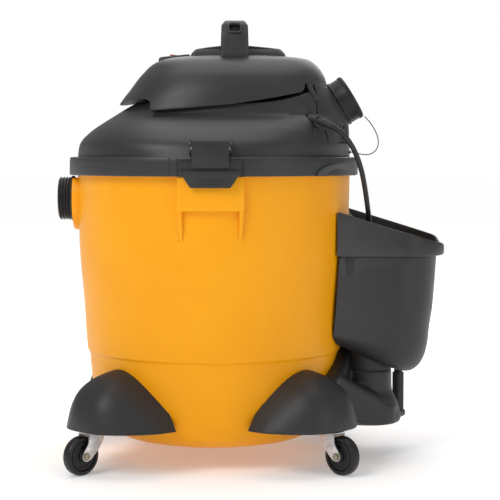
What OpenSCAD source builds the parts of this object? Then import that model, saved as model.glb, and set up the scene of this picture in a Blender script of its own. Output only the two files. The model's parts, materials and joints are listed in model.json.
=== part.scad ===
// Wet and dry drum vacuum: a yellow tank on four casters, a dark lift-off power head
// and a tool basket on a pedestal at the back. Millimetres, +Z up, floor at z = 0.
// The hose inlet faces -X, the tool basket +X, and the latches sit on -Y and +Y.

/* [Tank] */
// Outer radius of the tank just under its rim
tank_r = 217; // [214:0.5:218]
// Height of the tank's rim above the floor
rim_z = 448; // [446:1:450]
// Height of the underside of the tank
tank_bottom_z = 33; // [31:1:36]
// Thickness of the moulded tank wall
tank_wall = 3.5; // [2.5:0.5:4.5]
// Reach of the hose inlet from the tank's axis
inlet_reach = 247.6; // [246:0.2:250]
// Height of the hose inlet's axis
inlet_z = 411; // [409:1:413]
// Radius of the hose bore, inlet and exhaust
hose_r = 28.6; // [28:0.1:29]

/* [Power head] */
// Outer radius of the lid's rim band
lid_r = 230; // [229:0.5:231]
// Height of the top of the lid's rim band
band_top_z = 477; // [476:1:478]
// Wall thickness of the lid and the motor cover
shell_wall = 3; // [2.5:0.5:3.5]
// Height of the top of the motor cover
cover_top_z = 638; // [637:0.5:639]
// Overall height, to the top of the carrying handle
overall_z = 690; // [688:1:692]
// Width of the carrying handle
handle_w = 42; // [40:1:44]
// Half of the carrying handle's length
handle_half = 82; // [78:1:84]
// Tilt of the exhaust port above the horizontal, degrees
port_tilt = 31; // [30:0.5:32]

/* [Tool basket] */
// Reach of the tool basket from the tank's axis
basket_reach = 366; // [364:1:368]
// Half of the basket's width at its collar
basket_half = 105; // [103:1:106]
// Height of the basket's inner floor
basket_floor_z = 210; // [208:1:211]

/* [Feet and casters] */
// Reach of each foot from the tank's axis
foot_reach = 276; // [274:1:278]
// Underside of the feet
foot_z = 67; // [66:0.5:68]
// Radius of a caster wheel
wheel_r = 29.6; // [29:0.1:29.8]
// Width of a caster wheel's tread
wheel_w = 16; // [14:1:17]
// Distance from a caster's stem to its axle
caster_trail = 22; // [21:0.5:23]

/* [Power cord] */
// Diameter of the power cord
cord_d = 8; // [7.5:0.1:8]

/* [Hidden] */
$fn = 96;
EPS = 0.2;              // clearance between fitted pieces of one body
GAP = 0.35;             // clearance between pieces that move apart
RUN = 0.05;             // running clearance of a shaft in a hole
axis_x = (inlet_reach - basket_reach) / 2;   // the tank's axis, with the origin under the middle
tank_top_z = rim_z + 9;
flange_r = tank_r + 7;
ledge_half = 47.5;
latch_half = 27.5;
pin_y = 227;
pin_z = 490;
pin_r = 2.5;
inlet_tube_r = 31;
port_tube_r = 31;
cap_r = 36;
cap_depth = 23;
port_face = [221, 0, 574];
port_inner = 140;       // length of the exhaust tube behind the cap's face
lid_floor_z = 470;
lid_floor_t = 4;
intake_r = 42;
shaft_r = 4.5;
bearing_r = 11;
impeller_r = 78;
cage_r = 64;
cage_bottom_z = 330;
float_r = 48;
pedestal_x = 246;
pedestal_r = 37;
basket_back_r = 222;
coil_x = 283;
coil_r = [40, 56];
coil_h = 72;
stem_r = 5.5;
fork_z = 61;            // underside of a caster fork's top plate
axle_r = 3.5;
caster_xy = [181, 167];
gland_pos = [158, -133, 533];
gland_dir = [0.755, -0.604, -0.252];
rocker_x = -59;
rocker_z = 631;
tether_r = 0.8;

// The visible lead, from the gland to the top of the coil
LEAD_ROUTE = [
    [170.2, -142.8, 529], [184, -150, 522], [198, -152, 511], [210, -147, 496],
    [220, -137, 477], [228, -124, 455], [234, -109, 430], [239, -93, 404],
    [243, -77, 380], [245, -65, 355], [246, -57, 332], [248, -54, 313], [253, -54, 297]];
// The thin strap that keeps the exhaust cap with the vacuum
TETHER_ROUTE = [
    [241, 0, 542], [249, -3, 533], [256, -6, 522], [261, -10, 510], [262, -14, 498],
    [258, -18, 488], [249, -21, 482], [238, -23, 481], [228, -25, 483], [217.5, -27, 485]];

// ---------------------------------------------------------------- shared shapes

module on_axis() translate([axis_x, 0, 0]) children();

// Faces that join rings of n points; with caps the first and last rings are closed
function ring_faces(n, rings, loop) = concat(
    [for (k = [0:rings - (loop ? 1 : 2)], j = [0:n - 1])
        let (a = k * n, b = ((k + 1) % rings) * n, i = (j + 1) % n) [a + j, b + j, b + i]],
    [for (k = [0:rings - (loop ? 1 : 2)], j = [0:n - 1])
        let (a = k * n, b = ((k + 1) % rings) * n, i = (j + 1) % n) [a + j, b + i, a + i]],
    loop ? [] : [[for (j = [0:n - 1]) j]],
    loop ? [] : [[for (j = [0:n - 1]) rings * n - 1 - j]]);

module ring_solid(rings, loop = false)
    polyhedron([for (r = rings) each r], ring_faces(len(rings[0]), len(rings), loop), convexity = 8);

function reversed(list) = [for (i = [len(list) - 1:-1:0]) list[i]];
function unit(v) = v / norm(v);
function signed_pow(v, e) = sign(v) * pow(abs(v), e);
function super_xy(front, rear, half, n, t) = [
    (front + rear) / 2 + (rear - front) / 2 * signed_pow(cos(t), 2 / n),
    half * signed_pow(sin(t), 2 / n)];

// A round tube of radius r swept along a route, with a given number of sides
function route_dir(p, i) = unit(p[min(i + 1, len(p) - 1)] - p[max(i - 1, 0)]);
function sweep_ring(p, i, r, sides) = let (
    d = route_dir(p, i), u = unit(cross([0.1, 0.95, 0.2], d)), v = cross(d, u))
    [for (k = [0:sides - 1]) p[i] + r * (cos(360 * k / sides) * u + sin(360 * k / sides) * v)];
module swept(p, r, sides) ring_solid([for (i = [0:len(p) - 1]) sweep_ring(p, i, r, sides)]);

// Catmull-Rom points, so that a tube bends evenly between the route's own points
function spline_at(a, b, c, d, t) = 0.5 * (2 * b + (c - a) * t
    + (2 * a - 5 * b + 4 * c - d) * t * t + (3 * b - a - 3 * c + d) * t * t * t);
function smooth_route(p, steps) = concat(
    [for (i = [0:len(p) - 2], k = [0:steps - 1]) spline_at(
        p[max(i - 1, 0)], p[i], p[i + 1], p[min(i + 2, len(p) - 1)], k / steps)],
    [p[len(p) - 1]]);

module ring(r_in, r_out, z0, z1)
    translate([0, 0, z0]) difference() {
        cylinder(r = r_out, h = z1 - z0);
        translate([0, 0, -1]) cylinder(r = r_in, h = z1 - z0 + 2);
    }

// ---------------------------------------------------------------- tank

TANK_PROFILE = [
    [137, tank_bottom_z], [152, tank_bottom_z + 4], [166, tank_bottom_z + 13],
    [178, tank_bottom_z + 27], [187, 80], [193, 105], [197, 135], [200, 168],
    [203, 172], [208, 246], [tank_r - 2, 340], [tank_r, rim_z]];

module tank_solid(grow = 0)
    rotate_extrude() polygon(concat(
        [[0, tank_bottom_z - grow]],
        [for (p = TANK_PROFILE) [p[0] + grow, p[1]]],
        [[tank_r + grow, tank_top_z + grow], [0, tank_top_z + grow]]));

module tank_cavity()
    rotate_extrude() polygon(concat(
        [[0, tank_bottom_z + tank_wall]],
        [for (p = TANK_PROFILE) [p[0] - tank_wall, max(p[1], tank_bottom_z + tank_wall)]],
        [[tank_r - tank_wall, tank_top_z + 1], [0, tank_top_z + 1]]));

// Boss under each latch, with a shelf that the latch pulls against and two finger ribs
module latch_ledge(side) {
    intersection() {
        ring(tank_r - 4, tank_r + 9, 398, rim_z);
        translate([-ledge_half, side > 0 ? 150 : -250, 390]) cube([2 * ledge_half, 100, 70]);
    }
    for (s = [-1, 1])
        translate([s * (ledge_half - 3) - 3, side > 0 ? tank_r - 18 : -tank_r - 6, 360])
            cube([6, 24, 39]);
}

module inlet_axis() translate([0, 0, inlet_z]) rotate([0, -90, 0]) children();

module tank() color([0.98, 0.68, 0.05]) on_axis() difference() {
    union() {
        tank_solid();
        ring(tank_r - 4, flange_r, tank_top_z - 5, tank_top_z);
        for (side = [-1, 1]) latch_ledge(side);
        intersection() {
            inlet_axis() translate([0, 0, 150]) cylinder(r = 50, h = 73.5);
            translate([-240, -60, 360]) cube([240, 120, rim_z - 362]);
        }
    }
    tank_cavity();
    inlet_axis() translate([0, 0, 150]) cylinder(r = inlet_tube_r + EPS, h = 100);
}

// Threaded hose port: a flange, four thread ridges and a plain tube through the wall
module inlet_port() color([0.1, 0.1, 0.1]) on_axis() inlet_axis()
    rotate_extrude() polygon(concat(
        [[hose_r, 178], [inlet_tube_r, 178], [inlet_tube_r, 225], [36, 225], [36, 228], [32.4, 228]],
        [for (i = [0:3]) each [
            [32.4, 229.5 + 4.6 * i], [34.3, 230.5 + 4.6 * i], [34.3, 232 + 4.6 * i],
            [32.4, 233 + 4.6 * i]]],
        [[32.4, inlet_reach], [hose_r, inlet_reach]]));

module inlet_gasket() color([0.15, 0.15, 0.15]) on_axis() inlet_axis()
    ring(inlet_tube_r + EPS, 36, 223.5, 225);

module inlet_nut() color([0.12, 0.12, 0.12]) on_axis() inlet_axis() difference() {
    ring(inlet_tube_r + EPS, 39, 199, 208.5);
    for (a = [0:45:315]) rotate([0, 0, a]) translate([39, 0, 198]) cylinder(r = 2.5, h = 12, $fn = 24);
}

// Elbow inside the tank that turns the flow along the wall
module inlet_deflector() color([0.12, 0.12, 0.12]) on_axis()
    translate([-178 + EPS, 42, inlet_z]) rotate([0, 0, -90])
        rotate_extrude(angle = 80) translate([42, 0]) difference() {
            circle(r = inlet_tube_r + 1);
            circle(r = hose_r);
        }

// ---------------------------------------------------------------- feet, dolly and basket

// Section of a foot at a distance from the tank's axis: half-width, top and squareness
FOOT_SECTIONS = [
    [172, 98, 154, 1.9], [200, 95, 154, 1.9], [214, 90, 151, 2.1], [228, 82, 146, 2.5],
    [242, 72, 138, 3], [254, 61, 128, 3.6], [264, 49, 116, 4], [271, 36, 101, 4], [foot_reach, 20, 80, 4]];
FOOT_STEPS = 6;

function foot_ring(s, inset) = let (w = s[1] - inset, top = s[2] - inset) concat(
    [for (k = [FOOT_STEPS:-1:-FOOT_STEPS]) let (f = sin(90 * k / FOOT_STEPS))
        [s[0], w * f, foot_z + (top - foot_z) * (1 - pow(abs(f), s[3]))]],
    inset > 0 ? [[s[0], -w, foot_z - 2], [s[0], w, foot_z - 2]] : []);

// A hollow foot, open below, with a flange that hugs the tank
module foot_lobe() difference() {
    ring_solid([for (s = FOOT_SECTIONS) foot_ring(s, 0)]);
    difference() {
        translate([-4, 0, -EPS]) ring_solid([for (s = FOOT_SECTIONS) foot_ring(s, 3.5)]);
        tank_solid(EPS + 3.5);
    }
}

// Where each foot points, and which caster it carries
module at_foot(sx, sy) rotate([0, 0, sy * (sx > 0 ? 45 : 135)]) children();

module caster_boss(sx, sy)
    translate([sx * caster_xy[0], sy * caster_xy[1], foot_z]) cylinder(r = 15, h = 45);

module foot_cuts(sx, sy) {
    translate([sx * caster_xy[0], sy * caster_xy[1], foot_z - 1]) cylinder(r = stem_r + EPS, h = 36);
    translate([sx * 184, sy * 120, 100]) cylinder(r = 9, h = 80);
}

module front_foot(sy) difference() {
    union() {
        at_foot(-1, sy) foot_lobe();
        caster_boss(-1, sy);
    }
    tank_solid(EPS);
    foot_cuts(-1, sy);
}
module front_foot_left() color([0.17, 0.17, 0.18]) on_axis() front_foot(-1);
module front_foot_right() color([0.17, 0.17, 0.18]) on_axis() front_foot(1);

// Pedestal under the basket: a round collar on a neck that flares to its base
module pedestal()
    translate([pedestal_x, 0, 0]) rotate_extrude() polygon([
        [0, 50], [54, 50], [55, 66], [50, 78], [44, 90], [38, 104], [35.5, 116], [35.5, 138],
        [pedestal_r, 138], [pedestal_r, 166], [30, 176], [30, basket_floor_z - 4 - EPS], [0, basket_floor_z - 4 - EPS]]);

module rear_dolly() color([0.17, 0.17, 0.18]) on_axis() difference() {
    union() {
        for (sy = [-1, 1]) {
            at_foot(1, sy) foot_lobe();
            caster_boss(1, sy);
        }
        pedestal();
        for (sy = [-1, 1]) hull() {
            translate([190, sy * 80, foot_z]) cylinder(r = 16, h = 70, $fn = 32);
            translate([pedestal_x + 12, sy * 18, 50]) cylinder(r = 36, h = 30, $fn = 32);
        }
        hull() {
            translate([pedestal_x + 20, 20, 48]) cylinder(r = 25, h = 12, $fn = 32);
            translate([303, 60, 48]) cylinder(r = 13, h = 12, $fn = 32);
        }
    }
    tank_solid(EPS);
    for (sy = [-1, 1]) foot_cuts(1, sy);
    translate([pedestal_x, 0, 40]) cylinder(r = 29, h = 130);
    translate([303, 60, 40]) cylinder(r = 5 + EPS, h = 30);
}

// Peg on the dolly that holds a wand upright
module wand_post() color([0.15, 0.15, 0.16]) on_axis() translate([303, 60, 0])
    rotate_extrude() polygon([
        [0, 46], [5, 46], [5, 60 + EPS], [8, 60 + EPS], [8, 122], [6, 124], [6, 130], [4, 132], [0, 132]]);

module foot_screws() color([0.6, 0.6, 0.6]) on_axis()
    for (sx = [-1, 1], sy = [-1, 1], turn = [-18, 18])
        rotate([0, 0, sy * (sx > 0 ? 45 : 135) + turn]) translate([0, 0, 95]) rotate([0, 90, 0]) {
            translate([0, 0, 188]) cylinder(r = 2, h = 7, $fn = 24);
            translate([0, 0, 194.6]) cylinder(r = 4, h = 3, $fn = 24);
        }

// Plan outline of the basket: the tank side is an arc, the outer side has round corners
function basket_ring(reach, half, corner, back, z_in, z_out) = [
    for (p = concat(
        [for (k = [0:8]) let (y = half - k * half / 4) [sqrt(back * back - y * y), y]],
        [for (a = [-90:30:0]) [reach - 0.4 - corner + corner * cos(a), -half + corner + corner * sin(a)]],
        [[reach, 0]],
        [for (a = [0:30:90]) [reach - 0.4 - corner + corner * cos(a), half - corner + corner * sin(a)]]))
        [p[0], p[1], z_in + (z_out - z_in) * (p[0] - 190) / (basket_reach - 190)]];

function collar_ring(r, z_in, z_out) = [
    for (p = basket_ring(320, 90, 60, basket_back_r, 0, 0))
        let (d = unit([p[0] - 262, p[1]]))
        [pedestal_x + r * d[0], r * d[1], z_in + (z_out - z_in) * (r * d[0] + r) / (2 * r)]];

BASKET_OUTER = [ // reach, half-width, corner radius, back radius, height at the tank, height outside
    [288, 50, 45, 204, 166, 142], [304, 64, 55, 204, 164, 144], [319, 76, 62, 204.5, 166, 154],
    [332, 85, 66, 206, 175, 168], [340, 91, 68, 208, 187, 187], [344, 94, 70, 211, 214, 214],
    [349, 96, 72, 214, 246, 246], [354, 98, 74, basket_back_r - 3, 322, 322]];

function basket_section(s, inset, z_cap) = basket_ring(
    s[0] - inset, s[1] - inset, s[2] - inset, s[3] + inset, min(s[4] + inset, z_cap), min(s[5] + inset, z_cap));

module tool_basket() color([0.16, 0.16, 0.17]) on_axis() {
    wall = 3;
    collar = pedestal_r + 1.6;
    ring_solid(concat(
        [for (i = [5:-1:1]) basket_section(BASKET_OUTER[i], wall, basket_floor_z - wall - 1)],
        [collar_ring(collar, 174, 153), collar_ring(collar, 170, 149)],
        [for (s = BASKET_OUTER) basket_section(s, 0, 1000)],
        [basket_ring(basket_reach - 1, basket_half, 78, basket_back_r - 3, 324, 324),
         basket_ring(basket_reach, basket_half, 78, basket_back_r - 3, 330, 330),
         basket_ring(basket_reach, basket_half, 78, basket_back_r - 3, 390, 337),
         basket_ring(basket_reach - 2, basket_half - 2, 76, basket_back_r - 1, 394, 340),
         basket_ring(basket_reach - 5, basket_half - 5, 74, basket_back_r + 1, 391, 337),
         basket_ring(basket_reach - 12, 95, 72, basket_back_r + 1, 330, 322),
         basket_ring(346, 93, 69, 217, 246, 246),
         basket_ring(340.5, 91, 67, 214, basket_floor_z, basket_floor_z)]));
}

// ---------------------------------------------------------------- casters

// A caster's frame: its stem is the local Z axis and its wheel trails outwards
module at_caster(sx, sy) translate([sx * caster_xy[0], sy * caster_xy[1], 0])
    rotate([0, 0, sy * (sx > 0 ? 45 : 135)]) children();

module caster_stems() color([0.7, 0.7, 0.72]) on_axis()
    for (sx = [-1, 1], sy = [-1, 1]) at_caster(sx, sy) {
        translate([0, 0, fork_z]) cylinder(r = stem_r, h = 39);
        translate([0, 0, fork_z - 3.2]) cylinder(r = 8, h = 3.2 - GAP);
        translate([0, 0, fork_z - 3.2]) cylinder(r = stem_r, h = 4);
    }

// Two legs bent down from a top plate, with the ball race above the plate
module caster_fork(sx, sy) color([0.72, 0.72, 0.74]) on_axis() at_caster(sx, sy) difference() {
    union() {
        translate([-15, -13.5, fork_z]) cube([30, 27, 2.5]);
        translate([0, 0, fork_z + 1]) cylinder(r = 12.5, h = foot_z - GAP - fork_z - 1);
        for (s = [-1, 1]) translate([0, s * 12.25 + 1.25, 0]) rotate([90, 0, 0])
            linear_extrude(2.5) polygon([
                [-15, fork_z + 1], [-11, 51], [-3, 39], [6, 30.5], [13, 24], [20, 21.5], [25, 22.5],
                [28.5, 26], [29, 31], [24.5, 38.5], [17.5, 48], [15, fork_z + 1]]);
    }
    translate([0, 0, 50]) cylinder(r = stem_r + RUN, h = 20);
    translate([caster_trail, 20, wheel_r]) rotate([90, 0, 0]) cylinder(r = axle_r + EPS, h = 40);
}

module caster_axle(sx, sy) color([0.6, 0.6, 0.62]) on_axis() at_caster(sx, sy)
    translate([caster_trail, 0, wheel_r]) rotate([90, 0, 0]) {
        translate([0, 0, -15]) cylinder(r = axle_r, h = 30);
        for (s = [-1, 1]) translate([0, 0, s * 15.3 - 1.7]) cylinder(r = 5.4, h = 3.4, $fn = 6);
    }

module caster_wheel(sx, sy) color([0.08, 0.08, 0.08]) on_axis() at_caster(sx, sy)
    translate([caster_trail, 0, wheel_r]) rotate([90, 0, 0]) rotate_extrude() polygon([
        [axle_r + RUN, -10.4], [9, -10.4], [9, -6], [21, -5], [23, -wheel_w / 2 + 0.5],
        [wheel_r - 3, -wheel_w / 2], [wheel_r - 0.8, -wheel_w / 2 + 2.2], [wheel_r, -wheel_w / 2 + 5],
        [wheel_r, wheel_w / 2 - 5], [wheel_r - 0.8, wheel_w / 2 - 2.2], [wheel_r - 3, wheel_w / 2],
        [23, wheel_w / 2 - 0.5], [21, 5], [9, 6], [9, 10.4], [axle_r + RUN, 10.4]]);

// ---------------------------------------------------------------- power head shells

// Outline of the lid at each height: front, rear, half-width and squareness
LID_FRONT = [[477, -217], [495, -214], [504, -209], [514, -199], [524, -186], [533, -172],
    [543, -156], [554, -138], [566, -116]];
LID_REAR = [[477, 217], [527, 215], [588, 181.5]];
LID_HALF = [[477, 217], [495, 209], [515, 189], [530, 168], [543, 147], [560, 141], [590, 130]];
LID_SQUARE = [[477, 2], [500, 2.15], [540, 2.4], [590, 2.6]];
LID_TOP = [[0, 588], [25, 586], [42, 578], [60, 568.5], [75, 561], [90, 558], [130, 561], [180, 562]];

COVER_FRONT = [[540, -164], [561, -149], [572, -141], [582, -133], [601, -119], [611, -110],
    [620, -101], [629, -86], [633, -70], [636, -38], [638, 0]];
COVER_REAR = [[560, 196], [591, 180], [601, 177], [611, 172], [620, 165], [630, 152], [633, 139],
    [636, 107], [638, 59]];
COVER_HALF = [[540, 153], [560, 149], [580, 144], [600, 134], [615, 121], [625, 107], [632, 87],
    [636, 60], [638, 26]];
COVER_EDGE = [[0, 590.5], [25, 588.5], [42, 581], [60, 572], [90, 560], [120, 551], [138, 549],
    [150, 564], [165, 567], [180, 561]];

function folded(t) = t > 180 ? 360 - t : t;
function lid_point(z, t, inset) = let (p = super_xy(
        lookup(z, LID_FRONT) + inset, lookup(z, LID_REAR) - inset,
        lookup(z, LID_HALF) - inset, lookup(z, LID_SQUARE), t)) [p[0], p[1], z];
function lid_ring(u, inset) = [for (t = [0:6:354])
    lid_point(band_top_z + 1 + (lookup(folded(t), LID_TOP) - band_top_z - 1) * u, t, inset)];
function flat_ring(r, z) = [for (t = [0:6:354]) [r * cos(t), r * sin(t), z]];

function cover_point(z, t, inset) = let (
    s = lookup(z, [[540, 0], [600, 1], [cover_top_z, 1]]),
    p = super_xy(lookup(z, COVER_FRONT) + inset, lookup(z, COVER_REAR) - inset,
        lookup(z, COVER_HALF) - inset, 2.5, t)) [p[0], p[1], z - inset * s];
function cover_ring(u, inset) = [for (t = [0:6:354])
    let (edge = lookup(folded(t), COVER_EDGE)) cover_point(edge + (cover_top_z - edge) * u, t, inset)];
COVER_STEPS = [0, 0.25, 0.48, 0.66, 0.8, 0.9, 0.96, 1];

module port_axis() translate(port_face) rotate([0, 90 - port_tilt, 0]) children();
module gland_axis() translate(gland_pos)
    rotate([0, acos(gland_dir[2]), atan2(gland_dir[1], gland_dir[0])]) children();

// Ears on the lid that carry a latch pin
module latch_ears(side)
    for (s = [-1, 1]) translate([s * 32 - 3, 0, 0]) rotate([90, 0, 90]) linear_extrude(6)
        polygon([for (p = [[200, 482], [225, 482], [233, 486], [233, 494], [226, 497], [200, 500]])
            [side * p[0], p[1]]]);

module lid_base() color([0.19, 0.19, 0.2]) on_axis() difference() {
    union() {
        ring_solid(concat(
            [flat_ring(lid_r, 449), flat_ring(lid_r, band_top_z)],
            [for (u = [0, 0.16, 0.32, 0.48, 0.64, 0.8, 1]) lid_ring(u, 0)],
            [for (u = [1, 0.8, 0.64, 0.48, 0.32, 0.16, 0]) lid_ring(u, shell_wall)],
            [flat_ring(tank_r - 3, 462), flat_ring(lid_r - 3.5, 462), flat_ring(lid_r - 3.5, 449)]), true);
        ring(intake_r, tank_r - 1, lid_floor_z, lid_floor_z + lid_floor_t);
        for (side = [-1, 1]) latch_ears(side);
        translate([208, -27, 485]) rotate([0, 90, 0]) cylinder(r = 2.5, h = 9.2, $fn = 32);
    }
    for (side = [-1, 1]) {
        translate([-ledge_half - 1, side > 0 ? 224.6 : -240, 440]) cube([2 * ledge_half + 2, 15.4, 34]);
        translate([-latch_half - 1.2, side > 0 ? 219.5 : -240, 470]) cube([2 * latch_half + 2.4, 20.5, 40]);
        translate([-40, side * pin_y, pin_z]) rotate([0, 90, 0]) cylinder(r = pin_r + EPS / 2, h = 80, $fn = 48);
    }
    port_axis() translate([0, 0, -80]) cylinder(r = port_tube_r + EPS, h = 90);
    gland_axis() translate([0, 0, -16]) cylinder(r = 6.5 + EPS, h = 40, $fn = 48);
}

module lid_gasket() color([0.1, 0.1, 0.1]) on_axis()
    ring(tank_r - 3, flange_r - 1, tank_top_z + GAP, 462);

module switch_window() translate([-87, -34, 600]) cube([51, 68, 60]);

module motor_cover() color([0.2, 0.2, 0.21]) on_axis() difference() {
    union() {
        ring_solid(concat(
            [for (u = reversed(COVER_STEPS)) cover_ring(u, shell_wall)],
            [for (u = COVER_STEPS) cover_ring(u, 0)]));
        hull() {
            translate([-35.5, -52, cover_top_z - 4]) cube([149, 104, 1]);
            translate([-28, -46, cover_top_z + 8]) cube([134, 92, 1]);
            translate([12, -46, cover_top_z + 13]) cube([44, 92, 1]);
        }
    }
    switch_window();
}

// Carrying handle: a bar across the head on two posts, over a finger gap
module carry_handle() color([0.2, 0.2, 0.21]) on_axis() translate([34, 0, 0]) difference() {
    hull() for (s = [-1, 1]) {
        translate([-handle_w / 2, s > 0 ? handle_half - 2 : -handle_half, 629]) cube([handle_w, 2, 36]);
        translate([-handle_w / 2 + 5, s * (handle_half - 12) - 2, overall_z - 1]) cube([handle_w - 10, 4, 1]);
        translate([-handle_w / 2 + 1, s * (handle_half - 4) - 2, overall_z - 6]) cube([handle_w - 2, 4, 1]);
    }
    translate([-60, -55, 600]) cube([120, 110, 71]);
    for (s = [-1, 1]) translate([-9, s > 0 ? 66 : -handle_half - 4, 676]) cube([18, 20, 9]);
}

module handle_insert() color([0.05, 0.05, 0.05]) on_axis() translate([34, 0, 0])
    for (s = [-1, 1]) translate([-9 + EPS, s > 0 ? 66 + EPS : -76, 676 + EPS])
        cube([18 - 2 * EPS, 10 - EPS, 9 - 2 * EPS]);

module switch_panel() color([0.12, 0.12, 0.13]) on_axis() difference() {
    hull() {
        translate([-87 + EPS, -34 + EPS, 612]) cube([51 - 2 * EPS, 68 - 2 * EPS, 1]);
        translate([-86, -33, 633]) cube([1, 66, 1]);
        translate([-37, -33, 638]) cube([1, 66, 1]);
        translate([-80, -32, 637]) cube([44, 64, 1.5]);
    }
    translate([rocker_x - 12, -9, 618]) cube([24, 18, 30]);
    translate([rocker_x, 15, rocker_z]) rotate([90, 0, 0]) cylinder(r = 1.5 + RUN, h = 30, $fn = 32);
}

module switch_rocker() color([0.85, 0.12, 0.06]) on_axis() translate([rocker_x, 0, rocker_z]) {
    rotate([90, 0, 0]) linear_extrude(16, center = true)
        polygon([[-10.5, -2], [-6, -8], [6, -8], [10.5, -2], [10.5, 8.4], [0, 7], [-10.5, 9.6]]);
    rotate([90, 0, 0]) cylinder(r = 1.5, h = 26, center = true, $fn = 32);
}

module cover_screws() color([0.55, 0.55, 0.56]) on_axis()
    for (p = [[-95, 60], [-95, -60], [100, 75], [100, -75]]) translate([p[0], p[1], 474]) {
        cylinder(r = 3.5, h = 3, $fn = 24);
        cylinder(r = 1.8, h = 14, $fn = 24);
    }

// ---------------------------------------------------------------- latches

module latch(side) translate([0, side * pin_y, pin_z]) scale_y(side) difference() {
    union() {
        translate([-latch_half, 0, 0]) rotate([0, 90, 0]) cylinder(r = 5.2, h = 2 * latch_half, $fn = 48);
        translate([-latch_half, 0, -28]) cube([2 * latch_half, 9, 28]);
        translate([-latch_half, 5, -28]) cube([2 * latch_half, 4, 39]);
        translate([0, 9, 0]) rotate([90, 0, 0]) linear_extrude(6)
            polygon([[-45, -34], [45, -34], [29, -57.5], [-29, -57.5]]);
        translate([-40, 3, -36]) cube([80, 6, 9]);
    }
    translate([-40, 0, 0]) rotate([0, 90, 0]) cylinder(r = pin_r + RUN, h = 80, $fn = 48);
}
// Mirrors a latch drawn for the +Y side onto the other side
module scale_y(side) if (side > 0) children(); else mirror([0, 1, 0]) children();

module latch_left() color([0.13, 0.13, 0.14]) on_axis() latch(-1);
module latch_right() color([0.13, 0.13, 0.14]) on_axis() latch(1);
module latch_pins() color([0.7, 0.7, 0.72]) on_axis()
    for (side = [-1, 1]) translate([-35, side * pin_y, pin_z]) rotate([0, 90, 0]) cylinder(r = pin_r, h = 70, $fn = 48);

// ---------------------------------------------------------------- exhaust, cord

module exhaust_port() color([0.12, 0.12, 0.12]) on_axis() port_axis()
    rotate_extrude() polygon([
        [hose_r, -port_inner], [port_tube_r, -port_inner], [port_tube_r, -21], [33, -20], [33, -18],
        [port_tube_r, -17], [port_tube_r, -13], [33, -12], [33, -10], [port_tube_r, -9],
        [port_tube_r, -3.5], [hose_r, -3.5]]);

module exhaust_cap() color([0.1, 0.1, 0.1]) on_axis() port_axis() difference() {
    union() {
        translate([0, 0, -cap_depth]) cylinder(r = cap_r, h = cap_depth);
        for (a = [0:20:340]) rotate([0, 0, a]) translate([cap_r - 1, -1, 1.5 - cap_depth]) cube([1.7, 2, cap_depth - 4]);
    }
    translate([0, 0, -cap_depth - 1]) cylinder(r = cap_r - 2.6, h = cap_depth - 2);
}

module cap_tether() color([0.05, 0.05, 0.05]) on_axis() swept(smooth_route(TETHER_ROUTE, 3), tether_r, 8);

module cord_gland() color([0.08, 0.08, 0.08]) on_axis() gland_axis() rotate_extrude()
    polygon([[cord_d / 2 + EPS, -14], [6.5, -14], [6.5, 2], [9.5, 2], [9.5, 5], [7.2, 6], [6, 16], [cord_d / 2 + EPS, 16]]);

module cord_lead() color([0.06, 0.06, 0.06]) on_axis() swept(smooth_route(LEAD_ROUTE, 2), cord_d / 2, 10);

module cord_coil() color([0.06, 0.06, 0.06]) on_axis() translate([coil_x, 0, 0])
    ring(coil_r[0], coil_r[1], basket_floor_z + EPS, basket_floor_z + EPS + coil_h);

// Three-pin plug lying on the coil, blades towards -Y
module plug() color([0.07, 0.07, 0.07]) on_axis() translate([coil_x - 43, 0, basket_floor_z + coil_h + 11.5]) {
    rotate([90, 0, 0]) translate([0, 0, -26]) {
        cylinder(r1 = 5, r2 = 8, h = 18);
        translate([0, 0, 18]) cylinder(r = 11, h = 26);
        for (s = [-1, 1]) translate([s * 6.3 - 0.8, -1, 44]) cube([1.6, 6.5, 17]);
        translate([0, -6, 44]) cylinder(r = 2.4, h = 19, $fn = 32);
    }
}

// ---------------------------------------------------------------- blower and motor

module blower_housing() color([0.35, 0.35, 0.37]) on_axis() difference() {
    rotate_extrude() polygon([
        [34, 477], [88, 477], [88, 521], [20, 521], [20, 518.5], [85.5, 518.5], [85.5, 479.5], [34, 479.5]]);
    translate([60, -24, 484]) cube([40, 48, 30]);
}
module blower_gasket() color([0.1, 0.1, 0.1]) on_axis() ring(46, 84, lid_floor_z + lid_floor_t, 477);

module impeller() color([0.7, 0.7, 0.72]) on_axis() {
    ring(30, impeller_r, 484, 485.5);
    ring(shaft_r, impeller_r, 506, 507.5);
    ring(shaft_r, 12, 490, 506);
    for (a = [0:45:315]) rotate([0, 0, a]) translate([32, -0.75, 485.5]) cube([impeller_r - 34, 1.5, 20.5]);
}
module motor_shaft() color([0.75, 0.75, 0.77]) on_axis() translate([0, 0, 486]) cylinder(r = shaft_r, h = 138);

module motor_frame() color([0.5, 0.5, 0.52]) on_axis() difference() {
    rotate_extrude() polygon([
        [bearing_r, 523], [54, 523], [54, 602], [bearing_r, 602], [bearing_r, 599], [50.5, 599],
        [50.5, 534], [15, 534], [15, 532], [bearing_r, 532]]);
    for (a = [0:60:300]) rotate([0, 0, a + 30]) translate([45, -6, 545]) cube([15, 12, 30]);
}
module motor_stator() color([0.3, 0.22, 0.12]) on_axis() ring(39, 50.3, 540, 584);
module armature() color([0.72, 0.4, 0.18]) on_axis() {
    ring(shaft_r, 38, 542, 582);
    ring(shaft_r, 14, 585, 597);
}
module motor_bearings() color([0.8, 0.8, 0.82]) on_axis() {
    ring(shaft_r + RUN, bearing_r, 523.5, 531.5);
    ring(shaft_r + RUN, bearing_r, 599.5, 607);
}
module brush_holders() color([0.6, 0.5, 0.2]) on_axis() for (s = [0, 180]) rotate([0, 0, s])
    difference() {
        translate([19, -6, 586]) cube([31, 12, 11]);
        translate([16, -3.2, 588.3]) cube([26, 6.4, 6.4]);
    }
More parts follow.
